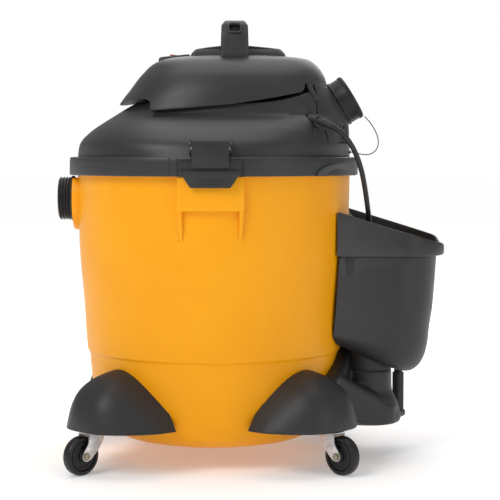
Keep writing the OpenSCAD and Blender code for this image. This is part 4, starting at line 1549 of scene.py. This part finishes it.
@dataclass
class CarryHandle:
    """The bar across the head, on two posts."""

    middle_x: float = 34.0
    width: float = 42.0
    half: float = 82.0
    top_z: float = 690.0
    gap_half: float = 55.0
    gap_top: float = 671.0

    def make(self) -> None:
        """Builds and dresses the handle and its end inserts."""
        side_view = [(-self.half, 629.5), (-self.half, 664), (-71, 683), (-66, 687.4), (-58, 689.6),
            (0, self.top_z), (58, 689.6), (66, 687.4), (71, 683), (self.half, 664),
            (self.half, 629.5), (self.gap_half, 629.5), (self.gap_half, 655),
            (self.gap_half - 8, 668), (self.gap_half - 18, self.gap_top),
            (-self.gap_half + 18, self.gap_top), (-self.gap_half + 8, 668), (-self.gap_half, 655),
            (-self.gap_half, 629.5)]
        outline = rounded(side_view, 2.0, 4)

        def taper(points: np.ndarray) -> np.ndarray:
            """Narrows the bar towards its top and its grip.

            Args:
                points: The bar's points before narrowing.

            Returns:
                The points in their place.
            """
            z, y = points[:, 1], points[:, 0]
            slim = 1.045 - 0.075 * np.clip((z - 640) / 50, 0, 1) - 0.16 * window(z, 684, 720, 8)
            return np.stack([self.middle_x + points[:, 2] * slim, y, z], 1)

        half = self.width / 2
        shell = Shell().prism(outline, -half, half, 4.2, taper)
        piece = shell.build("carry_handle_bar")
        tool = Shell()
        for side in SIDES:
            spot = along((self.middle_x, side * 76.6, 676.6), (0, side * 0.87, 0.5))
            tool.prism(rectangle(17, 13.6, 4.0, 5), -9, 12, 0.0, spot)
        cut(piece, tool)
        dress(piece, Finish.HEAD_CHARCOAL, Body.HEAD, ["carry_handle"], 30)
        plugs = Shell()
        foot = Shell()
        for side in SIDES:
            spot = along((self.middle_x, side * 76.6, 676.6), (0, side * 0.87, 0.5))
            plugs.prism(rectangle(16.8, 13.4, 3.9, 5), -8.8, -4.6, 0.8, spot)
            plugs.prism(rectangle(12, 1.6, 0.6, 3), -5.0, -3.4, 0.4, spot)
            rim = [(17.2, 13.8, 4.1, -1.0), (17.2, 13.8, 4.1, 1.7), (18.4, 15, 4.6, 2.2),
                (21, 17.4, 5.6, 2.0), (22, 18.4, 6, 0.6), (22, 18.4, 6, -1.0)]
            foot.loft([spot(np.column_stack([rectangle(w, h, r, 5), np.full(4 * 6, z)]))
                for w, h, r, z in rim], loop=True)
            foot.prism(rectangle(self.width + 2.4, 29.5, 4, 5) + [self.middle_x, side * 68.6], 628,
                640.5, 1.4)
            for end in SIDES:
                rib = rectangle(1.4, 26, 0.5)
                foot.prism(rib, -0.4, 0.9, 0.4, face_on_y((self.middle_x + end * 12, side * 82.0, 654)))
        dress(plugs.build("handle_end_inserts"), Finish.PORT_BLACK, Body.HEAD, ["handle_insert"])
        dress(foot.build("handle_feet"), Finish.HEAD_CHARCOAL, Body.HEAD)


@dataclass
class SwitchPanel:
    """The glossy platform with the red rocker switch."""

    rocker_x: float = -59.0
    rocker_z: float = 631.0

    def make(self) -> None:
        """Builds and dresses the platform, its bezel and the rocker."""
        rings = []
        for length, width, x, z, slope in ((50.4, 67.4, -61.5, 613, 0),
                (50.4, 67.4, -61.5, 628, 0.05), (49.6, 66.6, -61.6, 634.2, 0.09),
                (47.4, 64.6, -61.4, 636.2, 0.1), (44, 61.4, -61.2, 636.9, 0.1)):
            flat = rectangle(length, width, 6, 5) + [x, 0]
            rings.append(np.column_stack([flat, z + (flat[:, 0] + 61.5) * slope]))
        piece = Shell().loft(rings).build("switch_platform")
        tool = Shell().prism(rectangle(24.2, 18.2, 2) + [self.rocker_x, 0], 618, 650, 0.0)
        cut(piece, tool)
        dress(piece, Finish.LATCH_BLACK, Body.HEAD, ["switch_panel"])
        bezel = Shell()
        ring = [rectangle(28.6, 22.6, 3.4, 5), rectangle(28.6, 22.6, 3.4, 5),
            rectangle(27.6, 21.6, 3, 5), rectangle(25, 19, 2, 5), rectangle(24.2, 18.2, 1.8, 5),
            rectangle(24.2, 18.2, 1.8, 5)]
        heights = (635.8, 637.6, 638.2, 638.2, 637.6, 633)
        bezel.loft([np.column_stack([r + [self.rocker_x, 0], z + (r[:, 0] + 2.5) * 0.1])
            for r, z in zip(ring, heights)], loop=True)
        dress(bezel.build("switch_bezel"), Finish.PORT_BLACK, Body.HEAD)
        wave = [(-10.5, -1.6), (-6, -7.8), (6, -7.8), (10.5, -1.6), (10.5, 8.3), (8.6, 8.4), (4, 7.2),
            (0, 6.9), (-4, 7.4), (-8.6, 9.4), (-10.5, 9.5)]
        key = Shell().prism(rounded(wave, 1.4), -8, 8, 0.9,
            face_on_y((self.rocker_x, 0, self.rocker_z)))
        for k in range(3):
            bar = rectangle(0.9, 10, 0.4)
            spot = Place((self.rocker_x - 8.2 + 1.9 * k, 0, self.rocker_z + 7.6),
                ((1, 0, -0.06), (0, 1, 0), (0, 0, 1)))
            key.prism(bar, 0, 1.7 - 0.35 * k, 0.3, spot)
        dress(key.build("rocker_key"), Finish.ROCKER_RED, Body.ROCKER, ["switch_rocker"])


@dataclass
class Latch:
    """A bail latch that hooks the lid to the tank."""

    side: int
    pivot: tuple[float, float] = (227.0, 490.0)
    half: float = 27.5

    @property
    def name(self) -> str:
        """Gives the latch's name."""
        return "latch_right" if self.side > 0 else "latch_left"

    def make(self) -> None:
        """Builds and dresses the latch."""
        y, z = self.pivot
        out = Place((0, 0, 0), ((1, 0, 0), (0, 0, 1), (0, self.side, 0)))
        shell = Shell()
        shell.prism(rectangle(2 * self.half, 39, 1.5) + [0, 481.5], y + 5.2, y + 9.0, 0.9, out)
        shell.prism(rectangle(2 * self.half - 7, 32, 1.5) + [0, 481.5], y + 8.4, y + 9.3, 0.4, out)
        shell.prism(rectangle(2 * self.half - 1, 26, 1.5) + [0, 475.5], y - 0.6, y + 5.6, 0.8, out)
        barrel = face_on_x((0, self.side * y, z))
        shell.turn([(2.6, -self.half), (4.6, -self.half), (5.2, -self.half + 0.7),
            (5.2, self.half - 0.7), (4.6, self.half), (2.6, self.half)], barrel, 40)
        shell.prism(rectangle(92, 17.5, 1.2) + [0, 464], y - 0.6, y + 3.4, 0.6, out)
        wedge = rounded([(-45, 456), (45, 456), (29.5, 432.6), (-29.5, 432.6)], 1.6)
        shell.prism(wedge, y + 3.0, y + 8.2, 1.0, out)
        lip = rounded([(-44.6, 452.6), (-44.6, 456.8), (-43, 458), (43, 458), (44.6, 456.8),
            (44.6, 452.6)], 1.0)
        shell.prism(lip, y + 4.2, y + 8.9, 0.8, out)
        for k in range(3):
            shell.prism(rectangle(44 - 4 * k, 1.5, 0.6) + [0, 444.6 - 3.6 * k], y + 7.8, y + 8.7, 0.4,
                out)
        dress(shell.build(self.name + "_bail"), Finish.LATCH_BLACK, self.name, [self.name])


@dataclass
class ExhaustPort:
    """The blowing port with its ribbed cap on a thin tether."""

    face: tuple[float, float, float] = (221.0, 0.0, 574.0)
    tilt: float = 31.0
    bore_r: float = 28.6
    tube_r: float = 31.0
    cap_r: float = 36.0
    cap_depth: float = 27.5
    ribs: int = 54
    tether_r: float = 0.8
    tether_route: tuple = (
        (241, 0, 542), (249, -3, 533), (256, -6, 522), (261, -10, 510), (262, -14, 498),
        (258, -18, 488), (249, -21, 482), (238, -23, 481), (228, -25, 483), (217.5, -27, 485),
    )

    @property
    def place(self) -> Place:
        """Gives the port's place, with local Z out of the port."""
        a = math.radians(self.tilt)
        return along(self.face, (math.cos(a), 0, math.sin(a)))

    def tether(self) -> None:
        """Builds the cap's tether, a thin cord."""
        path = spline(self.tether_route, 8)
        piece = Shell().tube(path, self.tether_r, 10).build("cap_tether_line")
        dress(piece, Finish.CORD_BLACK, None, ["cap_tether"])
        points = to_frame(path)
        tuple(points[4])
        tuple(points[48])
        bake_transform(piece)
        tuple(points[0])
        [tuple(p) for p in points]

    def make(self) -> None:
        """Builds and dresses the port and the cap."""
        profile = [(self.bore_r, -140), (self.tube_r, -140), (self.tube_r, -21)]
        for z in (-20, -13):
            profile += [(self.tube_r, z), (32.7, z + 0.8), (33, z + 1.3), (33, z + 2.6),
                (32.7, z + 3.1), (self.tube_r, z + 3.9)]
        profile += [(self.tube_r, -4.2), (30.4, -3.5), (29.2, -3.5), (self.bore_r, -4.1)]
        dress(Shell().turn(profile, self.place, 96).build("exhaust_tube"), Finish.PORT_BLACK,
            Body.HEAD, ["exhaust_port"])
        r, deep = self.cap_r, self.cap_depth
        cup = [(33.4, -deep + 0.5), (34, -deep), (r - 0.9, -deep), (r - 0.2, -deep + 0.8),
            (r - 0.2, -9), (r, -8), (r, -1.6), (r - 0.5, -0.5), (r - 1.7, 0), (31.2, 0), (30.4, -0.5),
            (29.6, -0.9), (22, -1.0), (21, -0.6), (20, -0.6), (19, -1.0), (0.4, -1.0), (0.4, -3.0),
            (33.4, -3.0)]
        shell = Shell().turn(cup, self.place, 108)
        for k in range(self.ribs):
            a = 2 * math.pi * k / self.ribs
            x, y = math.cos(a), math.sin(a)
            rib = Place(tuple(self.place(np.array([[(r - 0.5) * x, (r - 0.5) * y, 0]]))[0]),
                tuple(map(tuple, np.array([(-y, x, 0), (0, 0, 1), (x, y, 0)])
                @ np.array(self.place.rows))))
            shell.prism(rectangle(1.7, 5.4, 0.6, 2) + [0, -4.6], 0, 1.3, 0.4, rib)
        tab = Place(tuple(self.place(np.array([0, 0, 3.4 - deep]))), self.place.rows)
        shell.turn([(r - 0.4, -1.6), (r + 0.9, -1.6), (r + 1.2, -1.2), (r + 1.2, 1.2), (r + 0.9, 1.6),
            (r - 0.4, 1.6)], tab, 96)
        dress(shell.build("exhaust_cap_cup"), Finish.PORT_BLACK, Body.CAP, ["exhaust_cap"])


# ------------------------------------------------------------------ cord


@dataclass
class PowerCord:
    """The mains lead: out of the head, down behind the tank and wound in the tool basket."""

    diameter: float = 8.0
    real_length: float = 5.5
    gland_at: tuple[float, float, float] = (158.0, -133.0, 533.0)
    gland_way: tuple[float, float, float] = (0.755, -0.604, -0.252)
    coil_x: float = 283.0
    coil_start_deg: float = 285.0
    coil_step_deg: float = 10.0
    plug_at: tuple[float, float, float] = (240.0, 26.0, 293.5)
    drop: tuple = ((170.2, -142.8, 529), (184, -150, 522), (198, -152, 511), (210, -147, 496),
        (220, -137, 477), (228, -124, 455), (234, -109, 430), (239, -93, 404), (243, -77, 380),
        (245, -65, 355), (246, -57.5, 332), (248, -55, 316), (252.5, -54.5, 301), (261, -55, 289),
        (272, -54.4, 281.5), (283.5, -52.8, 278.6))
    turn_marks: tuple = (0, 2880, 2960, 5840, 5900, 5983.8)
    turn_radii: tuple = (52, 52, 44, 44, 46, 50.2)
    turn_heights: tuple = (278.2, 214.2, 214.2, 278.2, 283.6, 293.5)

    def path(self) -> np.ndarray:
        """Works out the whole centre line.

        Returns:
            Its points, from the head to the plug.
        """
        lead = spline(self.drop, 5)
        along_coil = np.arange(self.coil_step_deg / 2, self.turn_marks[-1], self.coil_step_deg)
        along_coil = np.append(along_coil, self.turn_marks[-1])
        radius = np.interp(along_coil, self.turn_marks, self.turn_radii)
        height = np.interp(along_coil, self.turn_marks, self.turn_heights)
        angle = np.radians(along_coil + self.coil_start_deg)
        coil = np.stack([self.coil_x + radius * np.cos(angle), radius * np.sin(angle), height], 1)
        return np.vstack([lead, coil])

    def plug(self) -> list[bpy.types.Object]:
        """Builds the plug's grip and its blades.

        Returns:
            Both pieces.
        """
        place = Place(self.plug_at, ((1, 0, 0), (0, 0, 1), (0, -1, 0)))
        profile = [(0.5, 0), (4.6, 0), (5.1, 0.6)]
        for k in range(4):
            z = 2.4 + 3.6 * k
            base = 5.2 + 0.55 * k
            profile += [(base, z), (base + 0.9, z + 0.6), (base + 0.9, z + 2.0), (base + 0.2, z + 2.6)]
        profile += [(8.0, 17.4), (10.2, 19), (11, 20.6)]
        for k in range(4):
            z = 24 + 3.4 * k
            profile += [(11, z), (10.4, z + 0.5), (10.4, z + 1.4), (11, z + 1.9)]
        profile += [(11, 41.6), (10.5, 43.2), (9.2, 44), (0.5, 44)]
        grip = Shell().turn(profile, place, 48, loop=False).build("mains_plug_grip")
        dress(grip, Finish.CORD_BLACK, Body.BASE, ["plug"])
        pins = Shell()
        for side in SIDES:
            pins.prism(rectangle(1.6, 6.4, 0.5, 2) + [side * 6.3, 2.2], 42, 60.5, 0.4, place)
        pins.prism(circle(2.4, 24) + [0, -6], 42, 62.6, 1.0, place)
        blades = dress(pins.build("mains_plug_blades"), Finish.BRASS_HOLDER, Body.BASE)
        return [grip, blades]

    def relief(self, path: np.ndarray) -> None:
        """Builds the flange and the ribbed, tapered boot where the cord leaves the head.

        Args:
            path: The cord's centre line.
        """
        flange = [(4.1, -14), (6.4, -14), (6.4, 1.8), (9.3, 1.8), (9.6, 2.2), (9.6, 4.2), (9.0, 5),
            (7.4, 5.6), (4.1, 5.6)]
        shell = Shell().turn(flange, along(self.gland_at, self.gland_way), 48)
        way = unit(self.gland_way)
        start = [np.array(self.gland_at) + way * s for s in np.arange(4.5, 15.5, 0.55)]
        reach = np.concatenate([[0], np.cumsum(np.linalg.norm(np.diff(path, axis=0), axis=1))])
        follow = [np.array([np.interp(s, reach, path[:, k]) for k in range(3)])
            for s in np.arange(0.0, 22, 0.55)]
        line = np.array(start + follow)
        share = np.linspace(0, 1, len(line))
        radius = 6.6 - 2.0 * share + 0.34 * np.sign(np.sin(share * 62)) * (share < 0.93)
        shell.tube(line, radius, 24)
        dress(shell.build("cord_boot"), Finish.CORD_BLACK, Body.HEAD, ["cord_gland"])

    def make(self) -> None:
        path = self.path()
        piece = Shell().tube(path, self.diameter / 2, 14).build("mains_cord")
        dress(piece, Finish.CORD_BLACK, None, ["cord_lead", "cord_coil"])
        points = to_frame(path)
        with_pieces = self.plug()
        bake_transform(piece)
        tuple(points[0])
        [tuple(p) for p in points]
        self.relief(path)


# ------------------------------------------------------------------ inner parts and studio


def dress_packed_parts() -> None:
    """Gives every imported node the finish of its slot."""
    for part in frame["record"]["subparts"]:
        node = frame["nodes"][part["node"]]
        finish = Finish[part["material_slot"].upper()]
        if not node.data.materials:
            node.data.materials.append(None)
        for number in range(len(node.data.materials)):
            node.data.materials[number] = material_for(finish)


@dataclass
class Lamp:
    """A large soft lamp of the studio."""

    name: str
    at: tuple[float, float, float]
    aim: tuple[float, float, float]
    size: tuple[float, float]
    watts: float

    def make(self) -> None:
        """Hangs the lamp."""
        light = bpy.data.lights.new(self.name, "AREA")
        light.shape = "RECTANGLE"
        light.size, light.size_y = self.size
        light.energy = self.watts
        lamp = bpy.data.objects.new(self.name, light)
        lamp.location = self.at
        lamp.rotation_euler = (Vector(self.aim) - Vector(self.at)).to_track_quat("-Z", "Y").to_euler()
        bpy.context.scene.collection.objects.link(lamp)


@dataclass
class Studio:
    """The camera, the pale floor, the white surround and the soft lamps."""

    camera_at: tuple[float, float, float] = (-0.0015, -2.4673, 0.4844)
    camera_down_deg: float = 3.6348
    lens_mm: float = 110.6
    sensor_mm: float = 36.0
    surround: float = 0.38
    floor_half_m: float = 24.0
    # Painted light: the floor's own glow, dimmer near the vacuum so its shadow shows and brighter far off.
    near_glow: tuple[float, float, float] = (0.22, 0.22, 0.223)
    far_glow: tuple[float, float, float] = (0.63, 0.63, 0.63)
    glow_span_m: tuple[float, float] = (0.7, 2.2)
    backdrop_r_m: float = 30.0
    lamps: tuple = (
        Lamp("key_lamp", (-1.7, -2.0, 2.3), (0, 0, 0.4), (1.5, 1.5), 44),
        Lamp("fill_lamp", (2.2, -1.8, 1.0), (0, 0, 0.35), (1.4, 1.8), 10),
        Lamp("top_lamp", (0.1, 0.4, 2.6), (0, 0, 0.4), (2.4, 2.0), 30),
        Lamp("back_lamp", (0.4, 2.6, 1.9), (0, 0, 0.4), (2.2, 1.6), 24),
    )

    def camera(self) -> None:
        """Sets up the camera."""
        lens = bpy.data.cameras.new("camera")
        lens.lens, lens.sensor_width = self.lens_mm, self.sensor_mm
        camera = bpy.data.objects.new("camera", lens)
        camera.location = self.camera_at
        camera.rotation_euler = (math.radians(90 - self.camera_down_deg), 0, 0)
        bpy.context.scene.collection.objects.link(camera)
        bpy.context.scene.camera = camera

    def backdrop(self) -> None:
        """Surrounds the room with a plain white dome that only the camera sees."""
        grid = bmesh.new()
        bmesh.ops.create_icosphere(grid, subdivisions=4, radius=self.backdrop_r_m)
        mesh = bpy.data.meshes.new("backdrop")
        grid.to_mesh(mesh)
        grid.free()
        dome = bpy.data.objects.new("backdrop", mesh)
        bpy.context.scene.collection.objects.link(dome)
        paint = Paint(
            "backdrop_finish", Base_Color=(0, 0, 0, 1), Specular_IOR_Level=0.0,
            Emission_Color=(1, 1, 1, 1), Emission_Strength=1.0,
        )
        mesh.materials.append(paint.material)
        dome.visible_diffuse = dome.visible_glossy = dome.visible_transmission = dome.visible_shadow = False

    def room(self) -> None:
        """Lays the floor and lights the room."""
        half = self.floor_half_m
        mesh = bpy.data.meshes.new("floor")
        mesh.from_pydata([(-half, -half, 0), (half, -half, 0), (half, half, 0), (-half, half, 0)], [],
            [[0, 1, 2, 3]])
        floor = bpy.data.objects.new("floor", mesh)
        bpy.context.scene.collection.objects.link(floor)
        paint = Paint("floor_finish", Roughness=0.9, Specular_IOR_Level=0.0, Emission_Strength=1.0)
        # Painted light: the floor glows, dimmer within about 0.7 m of the vacuum and brighter beyond 2.2 m.
        distance = paint.node("ShaderNodeVectorMath", {"operation": "LENGTH"}, {0: paint.place}, 1)
        glow = distance.above(*self.glow_span_m)
        paint.feed("Emission Color", paint.mix(glow, rgba(self.near_glow), rgba(self.far_glow)))
        cloud = paint.noise(400, 2)
        paint.feed("Base Color", paint.mix(cloud, (0.93, 0.93, 0.935, 1), (0.95, 0.95, 0.95, 1)))
        mesh.materials.append(paint.material)
        self.backdrop()
        world = bpy.data.worlds.new("surround")
        bpy.context.scene.world = world
        world.use_nodes = True
        world.node_tree.nodes["Background"].inputs["Color"].default_value = (1, 1, 1, 1)
        world.node_tree.nodes["Background"].inputs["Strength"].default_value = self.surround
        for lamp in self.lamps:
            lamp.make()
        bpy.context.scene.view_settings.view_transform = "Standard"
        bpy.context.scene.view_settings.look = "None"


def main() -> None:
    """Builds the whole vacuum, in order."""
    logging.basicConfig(level=logging.INFO, format="%(message)s")
    studio = Studio()
    studio.camera()
    dress_packed_parts()
    PowerCord().make()
    exhaust = ExhaustPort()
    exhaust.tether()
    exhaust.make()
    assemblies = [Tank(), HoseInlet(), Feet(), ToolBasket()]
    assemblies += [Caster(sx, sy) for sx in SIDES for sy in SIDES]
    assemblies += [LidBase(), MotorCover(), CarryHandle(), SwitchPanel()]
    assemblies += [Latch(side) for side in SIDES]
    for assembly in assemblies:
        assembly.make()
        log.info("%s is built", type(assembly).__name__)
    studio.room()


if __name__ == "__main__":
    main()
